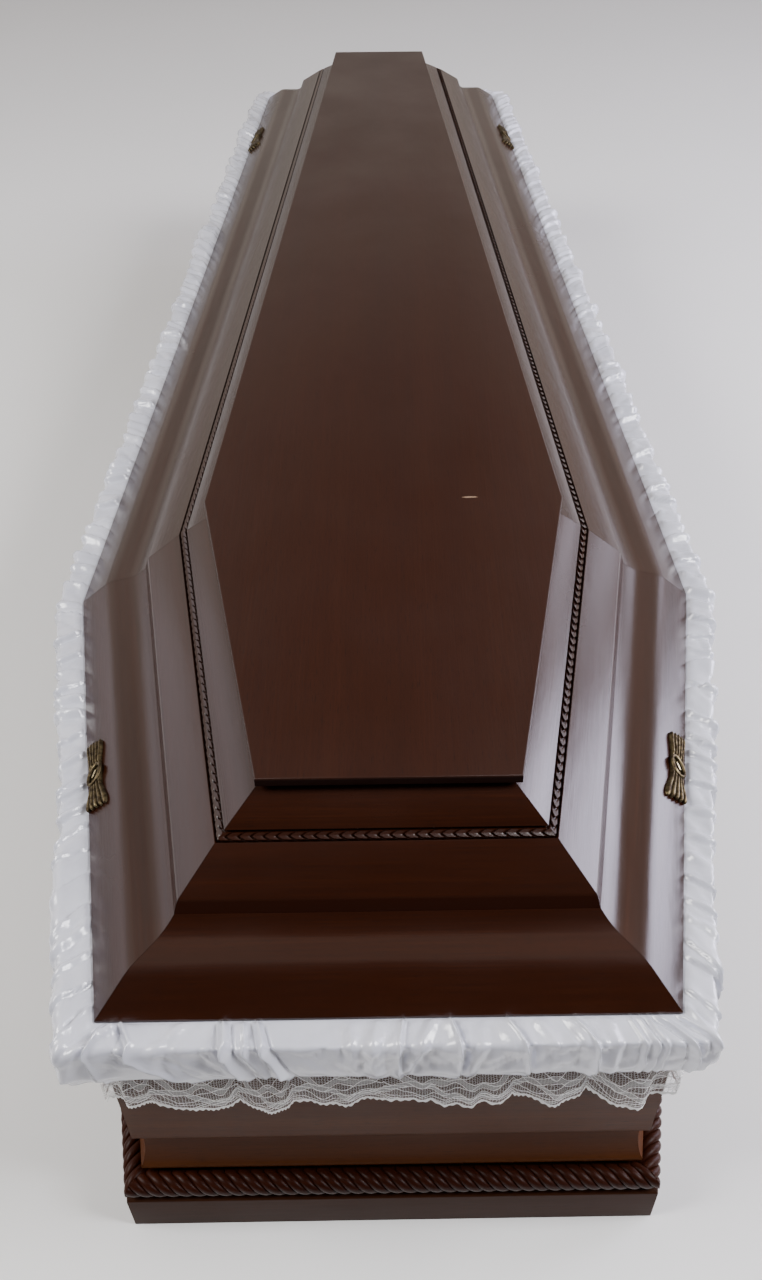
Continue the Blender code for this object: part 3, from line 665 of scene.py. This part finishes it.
def castOrnament(name, index, share, hand):
    # a sheaf of ribs tied by a tilted oval ring. hand is 1 on the right and -1 on the left.
    bm = bmesh.new()
    columns, rows = 44, 40
    half = ornament["length"] / 2
    bmesh.ops.create_grid(bm, x_segments=columns, y_segments=rows, size=1)
    relief = {}
    for vert in bm.verts:
        x, v = vert.co.x, vert.co.y
        wave = abs(math.cos(math.pi * ornament["ribs"] * (v + 1) / 2 + math.pi / 2)) ** 0.7
        cut = 0.10 * (v * hand + 1) / 2 if x > 0 else -0.05 * (1 - v * hand) / 2
        endRound = 0.09 * (1 - wave)
        reachX = x * (half - half * (abs(cut) + endRound) * abs(x) ** 6)
        width = plateHalfWidth(x)
        edge = max(0.0, abs(x) - 0.86) / 0.14
        height = ornament["thick"] + ornament["rib"] * wave * (1 - 0.5 * edge**3)
        height += ornament["crown"] * (1 - v * v) - 0.0006 * edge
        vert.co = (reachX, v * width, height)
        relief[vert] = wave
    rimEdges = [e for e in bm.edges if e.is_boundary]
    grown = bmesh.ops.extrude_edge_only(bm, edges=rimEdges)
    skirt = vertsOf(grown)
    for vert in skirt:
        vert.co.z = 0.0
        relief[vert] = 0.0
    bmesh.ops.edgeloop_fill(bm, edges=[e for e in bm.edges if e.is_boundary])
    # the ring, spun as a circle and then drawn out into a tilted oval
    lift, tubeRadius = ornament["ringLift"], ornament["ringTube"]
    outline = Matrix.Translation((1, 0, 0)) @ Matrix.Rotation(math.pi / 2, 4, "X")
    tube = bmesh.ops.create_circle(bm, segments=10, radius=tubeRadius, matrix=outline)["verts"]
    before = set(bm.verts)
    ringGeom = list(dict.fromkeys(tube + [e for v in tube for e in v.link_edges]))
    bmesh.ops.spin(bm, geom=ringGeom, cent=(0, 0, 0), axis=(0, 0, 1), angle=2 * math.pi,
                   steps=40, use_merge=True)
    ring = (set(bm.verts) - before) | {v for v in tube if v.is_valid}
    tilt = Matrix.Rotation(hand * math.radians(ornament["tilt"]), 3, "Z")
    ringHalves = [ornament[key] / 2 for key in ("ringLong", "ringWide")]
    for vert in ring:
        turn = math.atan2(vert.co.y, vert.co.x)
        offset = math.hypot(vert.co.x, vert.co.y) - 1 - tubeRadius
        long, wide = [size + offset for size in ringHalves]
        flat = tilt @ Vector((long * math.cos(turn), wide * math.sin(turn), 0))
        vert.co = (flat.x, flat.y, lift + vert.co.z)
        relief[vert] = 0.55 + 0.45 * min(1, max(0, vert.co.z / (lift + tubeRadius)))
    # the plate sinks inside the ring and is low beside it
    long, wide = [size - 0.0024 for size in ringHalves]
    plate = [v for v in relief if v.is_valid and v not in ring and v not in skirt]
    for vert in plate:
        back = tilt.inverted() @ Vector((vert.co.x, vert.co.y, 0))
        if math.hypot(back.x / long, back.y / wide) < 1.0:
            vert.co.z = ornament["floor"]
            relief[vert] = 0.0
        elif math.hypot(back.x / (long + 0.004), back.y / (wide + 0.004)) < 1.0:
            vert.co.z = min(vert.co.z, ornament["besideRing"])
    bmesh.ops.recalc_face_normals(bm, faces=bm.faces[:])
    layer = bm.verts.layers.float.new("relief")
    for vert in bm.verts:
        vert[layer] = relief.get(vert, 0.5)
    bmesh.ops.transform(bm, matrix=ornamentPlace(index, share), verts=bm.verts[:])
    return finishPiece(f"ornament_{name}_cast", bm, brass, [f"ornament_{name}"], 60)


def screwPiece(name, index, share, hand):
    # a low domed head with a bar across it
    bm = bmesh.new()
    low, thick = screwHead["bottom"], screwHead["thick"]
    barHeight, barEdge = screwHead["barHeight"], screwHead["barEdge"]
    radius = screwHead["diameter"] / 2
    bmesh.ops.create_cone(bm, cap_ends=True, segments=32, radius1=radius, radius2=radius * 0.86,
                          depth=thick, matrix=Matrix.Translation((0, 0, low + thick / 2)))
    turn = Matrix.Rotation(hand * math.radians(screwHead["turn"]), 4, "Z")
    size = Matrix.Diagonal((screwHead["barLength"], screwHead["barWidth"], barHeight, 1))
    middle = Matrix.Translation((0, 0, low + thick + barHeight / 2 - barEdge))
    bar = bmesh.ops.create_cube(bm, size=1, matrix=middle @ turn @ size)
    roundOff(bm, list({e for v in bar["verts"] for e in v.link_edges}), barEdge, 2)
    layer = bm.verts.layers.float.new("relief")
    for vert in bm.verts:
        vert[layer] = min(1.0, max(0.1, (vert.co.z - low) / (thick + barHeight)))
    bmesh.ops.transform(bm, matrix=ornamentPlace(index, share), verts=bm.verts[:])
    return finishPiece(f"lid_screw_{name}_head", bm, brass, [f"lid_screw_{name}"], 40)


nearShare, farShare = 0.49, 0.845
for name, index, share, hand in (
    ("right_near", 1, nearShare, 1), ("right_far", 2, farShare, 1),
    ("left_far", 4, 1 - farShare, -1), ("left_near", 5, 1 - nearShare, -1),
):
    castOrnament(name, index, share, hand)
    screwPiece(name, index, share, hand)
print("ornaments and screws made")


# Satin ruche: one strip of cloth round the rim, shaped by its own folds

satin = {
    "outside": 0.0248, "inside": -0.0150, "top": 0.3257, "bottom": 0.2820, "underReach": 0.0085,
    "edgeRound": 0.0022, "lowRound": 0.0026, "headStep": 0.0008, "step": 0.0019,
    "lidEdge": 0.0150, "free": 0.0200, "calm": 0.55, "least": -0.0006, "most": 0.0105, "seed": 7,
    # soft waves and creases: height, size, seed, stretch and slant of each
    "waves": [(0.0026, 0.026, 3.1, 0.7, 0.5), (0.0012, 0.010, 8.4, 0.5, -0.6)],
    "creases": (0.0030, 0.020, 5.2, 0.5, 0.9),
}


def sectionPath(corners, rounds, lidEdge):
    # Points, with their normals, along a path of corners rounded off, closest at the two corners
    points = []
    for i, corner in enumerate(corners):
        if rounds[i] == 0:
            points.append(corner)
            continue
        before, after = np.array(corners[i - 1]), np.array(corners[i + 1])
        here = np.array(corner)
        a = here + (before - here) / np.linalg.norm(before - here) * rounds[i]
        b = here + (after - here) / np.linalg.norm(after - here) * rounds[i]
        points += curve(tuple(a), corner, tuple(b), 8)
    path = np.array(points)
    steps = np.r_[0, np.cumsum(np.linalg.norm(np.diff(path, axis=0), axis=1))]
    edge = corners[1][0] - corners[0][0] - 0.2 * rounds[1]
    low = edge + corners[1][1] - corners[2][1] - 0.4 * rounds[1] - 0.2 * rounds[2]
    at = np.r_[
        np.linspace(0, lidEdge * 0.9, 3), np.linspace(lidEdge, edge - 0.003, 8),
        np.linspace(edge - 0.0018, edge + 0.0018, 4), np.linspace(edge + 0.003, low - 0.003, 11),
        np.linspace(low - 0.0016, low + 0.0016, 3), low + 0.006, steps[-1],
    ]
    even = np.stack([np.interp(at, steps, path[:, k]) for k in (0, 1)], axis=1)
    slope = np.gradient(even, at, axis=0)
    slope /= np.linalg.norm(slope, axis=1)[:, None]
    return even, np.stack([-slope[:, 1], slope[:, 0]], axis=1), at, low


def ringTable(reachForLength, headStep, step):
    # Stations round all six sides: side index, share along it and running length
    sides, shares, runs = [], [], []
    run = 0.0
    for i in range(6):
        length = (cornerPoint(i + 1, reachForLength, 0) - cornerPoint(i, reachForLength, 0)).length
        count = max(2, round(length / (headStep if i == 0 else step)))
        for k in range(count):
            sides.append(i)
            shares.append(k / count)
            runs.append(run + length * k / count)
        run += length
    return np.array(sides), np.array(shares), np.array(runs), run


def ringPoints(sides, shares, reach, z):
    # Places for arrays of reach and z, shape (stations, rows), with one share a station or a row
    shares = shares[:, :, None] if shares.ndim == 2 else shares[:, None, None]
    starts = np.array([cornerPoint(i, 0, 0) for i in range(6)])
    shifts = np.array([cornerPoint(i, 1, 0) - cornerPoint(i, 0, 0) for i in range(6)])
    nexts = (sides + 1) % 6
    base = starts[sides][:, None] * (1 - shares) + starts[nexts][:, None] * shares
    shift = shifts[sides][:, None] * (1 - shares) + shifts[nexts][:, None] * shares
    places = base + shift * reach[:, :, None]
    places[:, :, 2] = z
    return places


def wrap(x, total):
    return (x + total / 2) % total - total / 2


def smoothStep(x, a, b):
    t = np.clip((x - a) / (b - a), 0, 1)
    return t * t * (3 - 2 * t)


def ringNoise(runs, total, at, scale, seed, stretch, slant):
    # Soft noise over the strip that meets itself after one round
    out = np.zeros((len(runs), len(at)))
    radius = total / (2 * math.pi)
    for j, t in enumerate(at):
        angles = (runs + slant * t) / radius
        for i, angle in enumerate(angles):
            place = Vector((radius * math.cos(angle), radius * math.sin(angle), t * stretch))
            out[i, j] = noise.noise(place / scale + Vector((seed, seed * 0.7, seed * 1.3)))
    return out


# Folds on the head side, in metres from its left corner: where the fold's line starts under the
# lid, where it ends at the lower edge, its height, its width, and its strength at start and end.
# A lap rises slowly and drops at its line, to the right for side 1 and to the left for side -1.
# A ridge is a rolled fold with a crease on both sides.
headLaps = [
    (0.010, 0.028, 0.0050, 0.012, -1, 1.0, 1.0), (0.022, 0.095, 0.0078, 0.018, -1, 0.8, 1.0),
    (0.262, 0.257, 0.0036, 0.014, 1, 1.0, 0.8), (0.299, 0.301, 0.0055, 0.016, 1, 1.0, 1.0),
    (0.346, 0.355, 0.0055, 0.022, 1, 1.0, 1.0), (0.402, 0.404, 0.0036, 0.012, -1, 0.6, 1.0),
    (0.491, 0.503, 0.0045, 0.012, -1, 1.0, 0.8), (0.126, 0.152, 0.0034, 0.014, 1, 0.7, 1.0),
]
headRidges = [
    (0.024, 0.002, 0.0030, 0.0060, 1.0, 1.0), (0.080, 0.066, 0.0024, 0.0055, 1.0, 0.3),
    (0.109, 0.138, 0.0068, 0.0036, 1.0, 0.9), (0.137, 0.170, 0.0060, 0.0030, 0.9, 1.0),
    (0.214, 0.222, 0.0022, 0.0050, 1.0, 0.2), (0.240, 0.239, 0.0036, 0.0060, 0.8, 1.0),
    (0.288, 0.257, 0.0036, 0.0050, 0.7, 1.0), (0.330, 0.309, 0.0034, 0.0045, 0.2, 1.0),
    (0.372, 0.380, 0.0022, 0.0060, 1.0, 0.2), (0.398, 0.402, 0.0036, 0.0046, 1.0, 1.0),
    (0.431, 0.421, 0.0026, 0.0040, 0.3, 1.0), (0.451, 0.444, 0.0024, 0.0020, 0.7, 1.0),
    (0.459, 0.452, 0.0026, 0.0020, 0.7, 1.0), (0.466, 0.459, 0.0024, 0.0020, 0.7, 1.0),
    (0.473, 0.484, 0.0044, 0.0030, 1.0, 1.0),
]
sideFolds = {"apart": (0.014, 0.034), "slant": 0.020, "height": (0.0032, 0.0068),
             "ridge": (0.0024, 0.0056), "lap": (0.008, 0.018), "laps": 0.45, "lapDrop": 0.0010}
# The cloth's grid leans with the head's long slanted folds: where, and how far over the height
headLean = ((0, 0.019, 0.0585, 0.1235, 0.1535, 0.2395, 0.500),
            (0, 0.018, 0.073, 0.029, 0.033, -0.001, 0))
headCorner = {"bulge": 0.0075, "from": 0.235, "fade": 0.07, "right": 0.016}


def foldLists(total, headLength):
    random.seed(satin["seed"])
    laps, ridges = list(headLaps), list(headRidges)
    at = headLength + 0.010
    while at < total - 0.008:
        end = at + random.uniform(-1, 1) * sideFolds["slant"]
        height = random.uniform(*sideFolds["height"])
        strength = random.uniform(0.7, 1.0), random.uniform(0.1, 0.9)
        if random.random() < sideFolds["laps"]:
            width = random.uniform(*sideFolds["lap"])
            laps.append((at, end, height, width, random.choice((-1, 1)), *strength))
        else:
            ridges.append((at, end, height, random.uniform(*sideFolds["ridge"]), *strength))
        at += random.uniform(*sideFolds["apart"])
    return laps, ridges


def addFold(push, leant, across, total, first, last, strengths, shape):
    # adds one fold's heights to the stations near it
    near = np.abs(wrap(leant.mean(axis=1) - (first + last) / 2, total)) < 0.080
    bow = 0.0035 * np.sin(across * math.pi) * (1 if last > first else -1)
    x = wrap(leant[near] - (first + (last - first) * across + bow)[None, :], total)
    strength = strengths[0] + (strengths[1] - strengths[0]) * across
    push[near] += shape(x) * strength[None, :]


def satinRuche():
    inside, outside, top, bottom, under, lidEdge = [
        satin[key] for key in ("inside", "outside", "top", "bottom", "underReach", "lidEdge")
    ]
    corners = [(inside, top), (outside, top), (outside, bottom), (under, bottom)]
    rounds = [0, satin["edgeRound"], satin["lowRound"], 0]
    path, normals, at, low = sectionPath(corners, rounds, lidEdge)
    normals = -normals if normals[5, 1] < 0 else normals
    sides, shares, runs, total = ringTable(outside, satin["headStep"], satin["step"])
    headLength = runs[np.argmax(sides == 1)]
    free = smoothStep(at, lidEdge, satin["free"])
    free *= 1 - satin["calm"] * smoothStep(at, low - 0.012, low - 0.001)
    free *= 1 - smoothStep(at, low + 0.002, at[-1])
    across = np.clip((at - lidEdge) / (low - lidEdge), 0, 1)
    lean = np.interp(runs, *headLean, right=0)[:, None] * (across - 0.5)[None, :]
    leant = runs[:, None] + lean
    push = np.zeros((len(runs), len(at)))
    laps, ridges = foldLists(total, headLength)
    for first, last, height, width, side, *strengths in laps:
        slant = abs(last - first)

        def lap(x):
            slow = np.exp(np.minimum(0, x * side) / width)
            drop = np.exp(-np.maximum(0, x * side) / (sideFolds["lapDrop"] + 0.012 * slant))
            shadow = 0.35 * np.exp(-((x * side - 0.0035) / 0.0028) ** 2)
            crest = 0.0020 * np.exp(-((x / (0.0017 + 0.006 * slant)) ** 2))
            return height * (slow * drop - shadow) + crest
        addFold(push, leant, across, total, first, last, strengths, lap)
    for first, last, height, width, *strengths in ridges:
        def ridge(x):
            beside = np.exp(-((np.abs(x) - 1.7 * width) / (0.6 * width)) ** 2)
            return height * (np.exp(-np.abs(x / width) ** 1.5) - 0.45 * beside)
        addFold(push, leant, across, total, first, last, strengths, ridge)
    for height, *wave in satin["waves"]:
        push += height * ringNoise(runs, total, at, *wave)
    height, *crease = satin["creases"]
    push += height * np.abs(ringNoise(runs, total, at, *crease)) ** 0.5
    # the cloth stands out over the last of the left shoulder and round the head's left corner
    start = headCorner["from"]
    bulge = 1 - smoothStep(total - runs, start - headCorner["fade"], start)
    bulge = np.maximum(bulge, 0.8 * np.exp(-((runs / headCorner["right"]) ** 2)))
    push += headCorner["bulge"] * bulge[:, None] * smoothStep(at, 0.030, 0.046)[None, :]
    push = np.clip(push, satin["least"], satin["most"]) * free[None, :]
    reach = path[None, :, 0] + push * normals[None, :, 0]
    z = path[None, :, 1] + push * normals[None, :, 1]
    z = np.where(reach < 0.0015, np.minimum(z, 0.3261), z)  # no higher than the lid's underside
    places = ringPoints(sides, shares[:, None] + lean / headLength, reach, z)
    # the sharp corners of the ring are softened
    window = np.hanning(7)
    window /= window.sum()
    soft = sum(w * np.roll(places, k - 3, axis=0) for k, w in enumerate(window))
    lengths = [(cornerPoint(i + 1, 0, 0) - cornerPoint(i, 0, 0)).length for i in range(6)]
    distance = np.minimum(shares, 1 - shares) * np.array(lengths)[sides]
    blend = np.exp(-((distance / 0.010) ** 2))[:, None, None]
    return places * (1 - blend) + soft * blend, at, runs, total


def stripMesh(places, uvs):
    # one grid of cloth, its last station joined to its first
    stations, rows = places.shape[:2]
    bm = bmesh.new()
    bmesh.ops.create_grid(bm, x_segments=stations, y_segments=rows - 1, size=0.5)
    layers = {name: bm.loops.layers.uv.new(name) for name in uvs}
    index = {}
    for vert in bm.verts:
        i = round((vert.co.x + 0.5) * stations)
        j = round((vert.co.y + 0.5) * (rows - 1))
        index[vert] = (i, j)
    for face in bm.faces:
        for loop in face.loops:
            i, j = index[loop.vert]
            for name, table in uvs.items():
                loop[layers[name]].uv = table[i, j]
    for vert, (i, j) in index.items():
        vert.co = places[i % stations, j]
    first = [v for v, (i, j) in index.items() if i in (0, stations)]
    bmesh.ops.remove_doubles(bm, verts=first, dist=1e-6)
    return bm


def uvTable(runs, total, widths):
    # u along the strip, v across it, in metres, with one more column than stations
    u = np.r_[runs, total]
    return np.stack([np.repeat(u[:, None], widths.shape[1], axis=1), widths], axis=2)


def facesOutwards(bm):
    # one grid's faces all point the same way, so one outer face says whether to turn them
    bmesh.ops.recalc_face_normals(bm, faces=bm.faces[:])
    high = max(bm.faces, key=lambda f: abs(f.normal.x) * abs(f.calc_center_median().x))
    if high.normal.x * high.calc_center_median().x < 0:
        bmesh.ops.reverse_faces(bm, faces=bm.faces[:])


places, at, runs, total = satinRuche()
cloth = uvTable(runs, total, np.repeat(at[None, :], len(runs) + 1, axis=0))
bm = stripMesh(places, {"cloth": cloth})
facesOutwards(bm)
satinArea = sum(f.calc_area() for f in bm.faces)
satinPiece = finishPiece("satin_ruche_folds", bm, satinCloth, ["satin_ruche"], 180)


# Lace edging: a net with woven waves and a corded, scalloped lower edge, hung under the satin

lace = {
    "top": 0.2822, "reach": 0.0048, "low": 0.1946, "rise": 0.026, "scallop": (0.055, 0.095),
    "step": 0.0026, "rows": 22, "wave": 0.0085, "least": 0.0042, "most": 0.0200, "seed": 5,
    # where the scallops meet on the head side, from its left corner
    "headCusps": (0.0, 0.0405, 0.109, 0.154, 0.227, 0.331, 0.395),
    # petals and cords run in waves over the edge: which wave, its height, the height it runs at,
    # a petal's width with its cord's inner and outer widths, or a cord's width
    "petals": [(0, 0.009, 0.020, 0.0050, 0.0062, 0.0082),
               (1, 0.007, 0.036, 0.0062, 0.0080, 0.0102)],
    "cords": [(0, -0.006, 0.010, 0.0011), (0, -0.005, 0.0135, 0.0009), (0, -0.004, 0.0285, 0.0010),
              (1, -0.005, 0.0480, 0.0012), (0, -0.004, 0.0072, 0.0009), (1, 0.005, 0.0170, 0.0011)],
    "border": 0.0050, "notches": 14, "notch": 0.0011, "cell": 0.0024,  # cells of a real 1.2 mm
}


def waveRound(turn, waves, seed):
    # noise round the ring, one value a station
    spots = [(math.cos(a) * waves, math.sin(a) * waves, seed) for a in turn]
    return np.array([noise.noise(Vector(spot)) for spot in spots])


def laceEdging():
    sides, shares, runs, total = ringTable(lace["reach"], lace["step"], lace["step"])
    random.seed(lace["seed"])
    cusps = list(lace["headCusps"]) + [runs[np.argmax(sides == 1)]]
    while cusps[-1] < total - 1.5 * lace["scallop"][1]:
        cusps.append(cusps[-1] + random.uniform(*lace["scallop"]))
    cusps += [(cusps[-1] + total) / 2, total]
    phase = np.interp(runs, cusps, np.arange(len(cusps)))
    turn = runs / total * 2 * math.pi
    arch = np.abs(np.sin(np.pi * phase)) ** 0.75
    arch[phase < 1] *= 0.35  # the first scallop is shallow
    deep = np.clip(0.85 + 0.5 * waveRound(turn, 9, 0.4), 0.6, 1.0)
    edge = lace["low"] + lace["rise"] * (1 - arch * deep)
    share = np.linspace(0, 1, lace["rows"])
    z = lace["top"] + (edge[:, None] - lace["top"]) * share[None, :]
    folds = waveRound(turn, 26, 2.2) + 0.6 * waveRound(turn, 60, 7.2)
    hang = smoothStep(share, 0.0, 0.7)[None, :]
    out = lace["reach"] + lace["wave"] * (0.55 + folds)[:, None] * hang
    reach = np.clip(out, lace["least"], lace["most"])
    places = ringPoints(sides, shares, reach, z)
    down = lace["top"] - z
    fromEdge = z - edge[:, None]
    fullness = np.cumsum(np.r_[0, np.hypot(np.diff(runs), np.diff(reach[:, -1]))])
    return places, runs, total, phase, down, fromEdge, fullness, len(cusps) - 1


def whiteLace():
    # Nylon lace: a fine net of cells, denser petals, parallel cords, a thick notched edge
    material, tree, shader = newMaterial("whiteNylonLace")
    cloth = addNode(tree, "UVMap", uv_map="cloth").outputs["UV"]
    edge = addNode(tree, "UVMap", uv_map="edge").outputs["UV"]
    edge = addNode(tree, "SeparateXYZ", {0: edge}).outputs
    along, fromEdge = edge["X"], edge["Y"]

    def sine(turns, shift):
        angle = calculate(tree, "MULTIPLY_ADD", along, turns * 2 * math.pi, shift)
        return calculate(tree, "SINE", angle)

    def highest(*terms):
        top = terms[0]
        for term in terms[1:]:
            top = calculate(tree, "MAXIMUM", top, term)
        return top

    def line(distance, width):
        # 1 on a line of this width, 0 away from it
        return calculate(tree, "LESS_THAN", calculate(tree, "ABSOLUTE", distance), width / 2)

    net = addNode(tree, "TexVoronoi", {"Vector": cloth},
                  {"Scale": 1 / lace["cell"], "Randomness": 0.3}, feature="DISTANCE_TO_EDGE")
    netLines = calculate(tree, "LESS_THAN", net.outputs["Distance"], 0.095)
    rags = calculate(tree, "SUBTRACT", noiseOf(tree, cloth, 95.0, 2), 0.5)
    bent = calculate(tree, "MULTIPLY_ADD", rags, 0.006, fromEdge)
    swings = [sine(1, 0.0), sine(2, 1.1)]

    def distanceTo(which, height, level):
        wave = calculate(tree, "MULTIPLY_ADD", swings[which], height, level)
        return calculate(tree, "SUBTRACT", bent, wave)

    petals, solid = [], [calculate(tree, "LESS_THAN", fromEdge, lace["border"])]
    for *wave, width, inner, outer in lace["petals"]:
        distance = distanceTo(*wave)
        petals.append(line(distance, width))
        solid.append(calculate(tree, "SUBTRACT", line(distance, outer), line(distance, inner)))
    solid += [line(distanceTo(*wave), width) for *wave, width in lace["cords"]]
    dense = calculate(tree, "MULTIPLY", highest(*petals), 0.4)
    veil = calculate(tree, "MULTIPLY", netLines, 0.6)
    notch = lace["notch"]
    notches = calculate(tree, "MULTIPLY_ADD", sine(lace["notches"], 0.0), notch, notch)
    kept = calculate(tree, "GREATER_THAN", fromEdge, notches)
    cover = calculate(tree, "MULTIPLY", highest(*solid, dense, veil, 0.04), kept)
    shade = rangeOf(tree, cover, (0, 1), (0.7, 1.0))
    sockets = {
        "Alpha": cover, "Base Color": mixColour(tree, shade, "#e2e0df", "#ffffff"),
        "Normal": bumpOf(tree, cover, 0.6, 0.0004),
    }
    feed(tree, shader, sockets, {"Roughness": 0.65, "Sheen Weight": 0.2})
    return material


laceCloth = whiteLace()
places, runs, total, phase, down, fromEdge, fullness, scallops = laceEdging()
cloth = uvTable(fullness, fullness[-1] + lace["step"], np.vstack([down, down[:1]]))
edgeTable = uvTable(phase, scallops, np.vstack([fromEdge, fromEdge[:1]]))
bm = stripMesh(places, {"cloth": cloth, "edge": edgeTable})
facesOutwards(bm)
laceArea = sum(f.calc_area() for f in bm.faces)
lacePiece = finishPiece("lace_edging_net", bm, laceCloth, ["lace_edging"], 180)
print("lace area", round(laceArea, 4), "length", round(float(fullness[-1]), 3))
print("satin and lace hung")


# Floor, light and camera

def floorMaterial():
    material, tree, shader = newMaterial("paleFloor")
    where = addNode(tree, "TexCoord").outputs["Object"]
    pale = rampOf(tree, noiseOf(tree, where, 1.5, 2), [(0.3, "#fafafa"), (0.7, "#fdfdfd")])
    # the floor turns grey outside the picture, so that the low faces don't mirror a bright ground
    along = addNode(tree, "SeparateXYZ", {0: where}).outputs["Y"]
    colour = mixColour(tree, rangeOf(tree, along, (-1.12, -1.75), (0, 1)), pale, "#565656")
    feed(tree, shader, {"Base Color": colour}, {"Roughness": 0.8})
    return material


bm = bmesh.new()
bmesh.ops.create_grid(bm, x_segments=1, y_segments=1, size=14)
bmesh.ops.translate(bm, verts=bm.verts[:], vec=(0, 0, -0.0005))
floorMesh = bpy.data.meshes.new("floor")
bm.to_mesh(floorMesh)
bm.free()
floorMesh.materials.append(floorMaterial())
floor = bpy.data.objects.new("floor", floorMesh)
bpy.context.scene.collection.objects.link(floor)

lamps = [
    # name, place, aim, size, watts, colour. The keys stand where no face seen here mirrors them.
    ("keyRight", (2.4, -1.15, 2.7), (0, -0.3, 0.3), (1.5, 1.5), 135, "#fdfcff"),
    ("keyLeft", (-2.4, -1.15, 2.7), (0, -0.3, 0.3), (1.5, 1.5), 110, "#fffdfa"),
    ("overhead", (0, -0.45, 3.0), (0, -0.45, 0.4), (2.4, 1.4), 4, "#fff4e6"),
    ("windowRightNear", (2.9, 0.6, 0.98), (0.3, 0.6, 0.98), (1.3, 1.76), 79, "#e9e6ff"),
    ("windowRightFar", (2.9, 2.3, 1.2), (0.3, 2.3, 1.2), (0.8, 1.3), 11, "#e9e6ff"),
    ("windowLeft", (-2.9, 0.9, 1.0), (-0.3, 0.9, 1.0), (2.0, 1.4), 6, "#efe9ff"),
]
for name, place, aim, size, watts, colour in lamps:
    light = bpy.data.lights.new(name, "AREA")
    light.shape = "RECTANGLE"
    light.size, light.size_y = size
    light.energy = watts
    light.color = linear(colour)[:3]
    lamp = bpy.data.objects.new(name, light)
    direction = Vector(aim) - Vector(place)
    turn = direction.to_track_quat("-Z", "Y").to_matrix().to_4x4()
    lamp.matrix_world = Matrix.Translation(place) @ turn
    bpy.context.scene.collection.objects.link(lamp)

world = bpy.data.worlds.new("studio")
world.use_nodes = True
bpy.context.scene.world = world
tree = world.node_tree
sky = tree.nodes["Background"]
# the light's strength by height ahead and beside, less from the head end's side
strengths = {
    "ahead": [(0.0, 0.45), (0.1, 0.7), (0.3, 0.6), (0.45, 0.22), (0.6, 0.1), (1.0, 0.06)],
    "beside": [(0.0, 0.45), (0.1, 0.8), (0.3, 0.8), (0.6, 0.9), (0.75, 0.6), (1.0, 0.1)],
}
towards = addNode(tree, "TexCoord").outputs["Generated"]
towards = addNode(tree, "SeparateXYZ", {0: towards}).outputs
ahead, beside = [rampOf(tree, towards["Z"], strengths[key]) for key in ("ahead", "beside")]
across = calculate(tree, "ABSOLUTE", towards["X"])
soft = {"interpolation_type": "SMOOTHSTEP"}
aside = rangeOf(tree, across, (0.2, 0.45), (0, 1), **soft)
height = addNode(tree, "Mix", {"Factor": aside, "A": ahead, "B": beside}, data_type="RGBA")
facing = rangeOf(tree, towards["Y"], (-0.25, 0.4), (0.12, 1.0), **soft)
glow = calculate(tree, "MULTIPLY", height.outputs["Result"], facing)
feed(tree, sky, {"Strength": glow}, {"Color": linear("#fff3e8")})

view = {"focal": 1212.01, "pitch": 47.538, "yaw": 0.573, "roll": -0.376, "centre": (401.64, 781.02),
        "place": (0.006, -1.4986, 1.1438), "wide": 762, "high": 1280}
pitch, yaw, roll = (math.radians(view[k]) for k in ("pitch", "yaw", "roll"))
ahead = Vector((math.sin(yaw) * math.cos(pitch), math.cos(yaw) * math.cos(pitch), -math.sin(pitch)))
right = ahead.cross(up).normalized()
upward = right.cross(ahead)
rightTurned = right * math.cos(roll) + upward * math.sin(roll)
upTurned = -right * math.sin(roll) + upward * math.cos(roll)
lens = bpy.data.cameras.new("camera")
lens.sensor_width = 36
lens.lens = view["focal"] / view["high"] * lens.sensor_width
lens.shift_x = (view["wide"] / 2 - view["centre"][0]) / view["high"]
lens.shift_y = (view["centre"][1] - view["high"] / 2) / view["high"]
lens.clip_start = 0.02
camera = bpy.data.objects.new("camera", lens)
camera.matrix_world = Matrix((rightTurned, upTurned, -ahead)).transposed().to_4x4()
camera.matrix_world.translation = Vector(view["place"])
bpy.context.scene.collection.objects.link(camera)
bpy.context.scene.camera = camera
print("stage, light and camera set")
